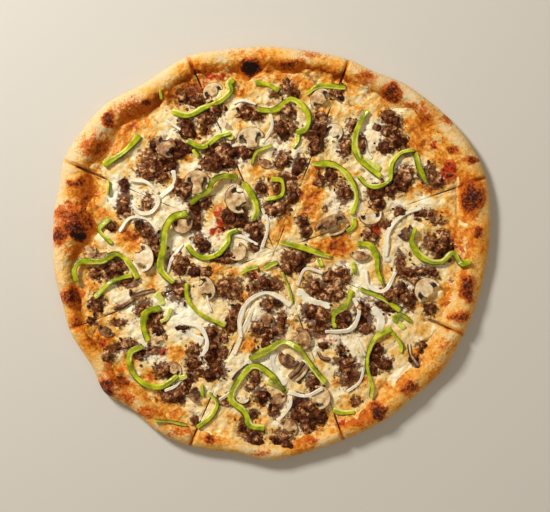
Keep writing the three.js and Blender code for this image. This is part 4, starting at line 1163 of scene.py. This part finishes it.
def mushroom_outline(width, depth, stem, count):
    """Outline of a slice with its stem towards +X: half an ellipse for the cap, its lips curled in,
    and a stem with round corners. Points are spread evenly along it."""
    half = width / 2
    stem_half = half * MUSHROOM_STEM
    lip = math.pi * 0.45
    turn = np.linspace(lip, 2 * math.pi - lip, 40)
    cap = np.stack([np.cos(turn) * depth, np.sin(turn) * half], -1)
    lips = [[0.2 * depth, -0.9 * half], [0.12 * depth, -0.8 * half]]
    neck = [[0.05 * depth, -stem_half * 1.3], [stem * 0.5, -stem_half * 0.92]]
    foot = [[stem * 0.9, -stem_half], [stem, -stem_half * 0.7]]
    side = np.array(lips + neck + foot)
    outline = np.concatenate([cap, side, side[::-1] * [1, -1], cap[:1]])
    run = path_run(outline)
    at = np.linspace(0, run[-1], count + 1)
    return np.stack([np.interp(at, run, outline[:, 0]), np.interp(at, run, outline[:, 1])], -1)


def gill_share(u, v, width, depth):
    """1 in the two dark crescents under the cap, beside the stem: a band of an ellipse that is like
    the cap's, without its crown."""
    half = width / 2
    ring = np.hypot(u / depth, v / half)
    inner = 0.4 + 0.25 * np.clip(-u / depth, -0.3, 1)
    band = ease((ring - inner) / 0.1) * ease((0.84 - ring) / 0.1)
    beside = ease((np.abs(v) - half * 0.24) / (half * 0.16))
    return band * beside * ease((u / depth + 0.5) / 0.35)


def mushroom_shell(place, lean, foot, seed):
    """A slice: on the upper face rings shrink from the outline to a point inside the cap, the edge
    is a half circle, and the under face is flat. The gills lie lower, noise roughens the top, and
    the slice curls a little by the squares of its width and depth."""
    _, _, stem_heading, width, depth, stem, roast, dark = place
    width, depth, stem = width * PIXEL, depth * PIXEL, max(stem * PIXEL, 2 * MM)
    outline = mushroom_outline(width, depth, stem, 84)
    middle = np.array([-0.2 * depth, 0])
    inner = 0.91
    edge_turn = np.linspace(-math.pi / 2, math.pi / 2, 8)
    face = np.linspace(inner, 0, 15)[1:]
    rounded = inner + (1 - inner) * np.cos(edge_turn)
    share = np.concatenate([[0, inner * 0.6], rounded, face])[:, None]
    level = np.concatenate([[-1, -1], np.sin(edge_turn), np.ones(len(face))])[:, None]
    u, v = np.moveaxis(middle + (outline[None] - middle) * share[..., None], -1, 0)
    top = np.maximum(level, 0)
    gills = gill_share(u, v, width, depth)
    rough = 0.5 * MM * grain(u, v, seed * MM, 4 * MM, seed)
    z = MUSHROOM_THICKNESS * (0.5 + 0.5 * level) + rough * top
    curl = (v / width * 2) ** 2 + 0.6 * (u / depth) ** 2
    z = z + 1.6 * MM * curl * grain(seed, 0, 0, 1.0, 9) - gills * top * 1.1 * MM
    tilt, turn = math.radians(lean), math.radians(stem_heading)
    tilted = v * math.cos(tilt) - z * math.sin(tilt)
    raised = v * math.sin(tilt) + z * math.cos(tilt)
    centre = on_pie(place)
    x = centre[0] + u * math.cos(turn) - tilted * math.sin(turn)
    y = centre[1] + u * math.sin(turn) + tilted * math.cos(turn)
    skin = ease((share - 0.9) / 0.07) * ease((0.12 * depth - u) / (0.2 * depth))
    shade = gills * (0.25 + 0.75 * top) * dark * (1 + 0.5 * grain(x, y, 0, 5 * MM, 85))
    roasted = roast + 0.22 * grain(x, y, 0, 8 * MM, 81)
    return sealed(stacked(x, y, foot + raised)), {"skin": skin, "gill": shade, "roast": roasted}


def make_mushrooms(material):
    """All slices in one piece: those with a solid lie where it lies, small ones in the cheese."""
    shells, values, nodes = [], [], []
    for number, place in enumerate(MUSHROOMS + SMALL_MUSHROOMS, 1):
        if number <= len(MUSHROOMS):
            nodes.append(f"mushroom_{number}")
            lean = MUSHROOM_TILT * (1 if number % 2 == 0 else -1)
            drop = abs(math.sin(math.radians(lean))) * place[3] / 2 * PIXEL
            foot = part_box(nodes[-1])[0].z + drop - 0.6 * MM
        else:
            lean = 8 * (LATTICE[number % LATTICE_SIDE, 1, 1] - 0.5)
            foot = float(cheese_height(*on_pie(place))) - 1.5 * MM
        grid, masks = mushroom_shell(place, lean, foot, number)
        shells.append(grid)
        values.append(masks)
    joined_piece("mushrooms", shells, values, material, nodes)


# ---- the pie

dough, melted, meat, flesh = crust_finish(), cheese_finish(), beef_finish(), mushroom_finish()
for i in range(len(CUT_ENDS)):
    make_crust(i, dough)
    make_cheese(i, melted)

make_lumps("beef_crumbles", *crumble_places(6, LARGEST), 26, 15, meat)
make_lumps("small_beef_crumbles", *crumble_places(0, 6), 16, 10, meat)
make_lumps("beef_crumbs", *crumb_places(760), 8, 5, meat)

peppers = [(PEPPERS, PEPPER, "pepper"), (SMALL_PEPPERS, BIT, ""), (PEPPER_SLABS, SLAB, "")]
onions = [(ONIONS, ONION, "onion"), (SMALL_ONIONS, SHRED, ""), (ONION_SHEETS, SHEET, "")]
edges = [(MUSHROOM_EDGES, ON_EDGE, "")]
make_strips("pepper_strips", peppers, 0.7 * MM, pepper_finish(), pepper_masks)
make_strips("onion_strips", onions, 0.5 * MM, onion_finish(), onion_masks)
make_mushrooms(flesh)
make_strips("mushroom_edges", edges, 0.5 * MM, flesh, edge_masks)


# ---- floor, light and camera


def placed(name, data, place):
    """A new object in the scene, at a place."""
    thing = bpy.data.objects.new(name, data)
    thing.location = place
    bpy.context.scene.collection.objects.link(thing)
    return thing


def make_floor():
    """A wide pale floor just under the pie."""
    reach = 6.0
    mesh = bpy.data.meshes.new("floor")
    corners = [(-reach, -reach, 0), (reach, -reach, 0), (reach, reach, 0), (-reach, reach, 0)]
    mesh.from_pydata(corners, [], [(0, 1, 2, 3)])
    mesh.materials.append(Finish("pale_floor", Roughness=0.9).done(rgb(214, 210, 202)))
    floor = placed("floor", mesh, (0, 0, -0.4 * MM))


def make_lamp(name, size, power, place):
    """A square soft lamp at a place, turned towards the pie."""
    lamp = bpy.data.lights.new(name, "AREA")
    lamp.size = size
    lamp.energy = power
    lamp.color = (1.0, 0.965, 0.91)
    holder = placed(name, lamp, place)
    holder.rotation_euler = (-Vector(place)).to_track_quat("-Z", "Y").to_euler()


def make_camera():
    """The photograph's camera: straight above, its frame as wide as the photograph at the pie."""
    camera = bpy.data.cameras.new("camera")
    distance = 1.6
    camera.sensor_width = 36
    camera.lens = camera.sensor_width * distance / (PHOTO_SIZE[0] * PIXEL)
    camera.clip_end = 50
    x, y = on_pie(np.array(PHOTO_SIZE) / 2)
    bpy.context.scene.camera = placed("camera", camera, (x, y, distance + 12 * MM))


def light_room():
    """A dim warm room, a strong lamp at the upper left and a wide weak one across from it."""
    world = bpy.data.worlds.new("studio")
    world.use_nodes = True
    background = world.node_tree.nodes["Background"]
    background.inputs["Color"].default_value = (1.0, 0.86, 0.66, 1)
    background.inputs["Strength"].default_value = 0.24
    bpy.context.scene.world = world
    bpy.context.scene.view_settings.view_transform = "Standard"
    make_lamp("key", 0.45, 46, (-1.15, 1.2, 1.35))
    make_lamp("fill", 1.6, 6, (1.2, -0.9, 1.6))


make_floor()
light_room()
make_camera()
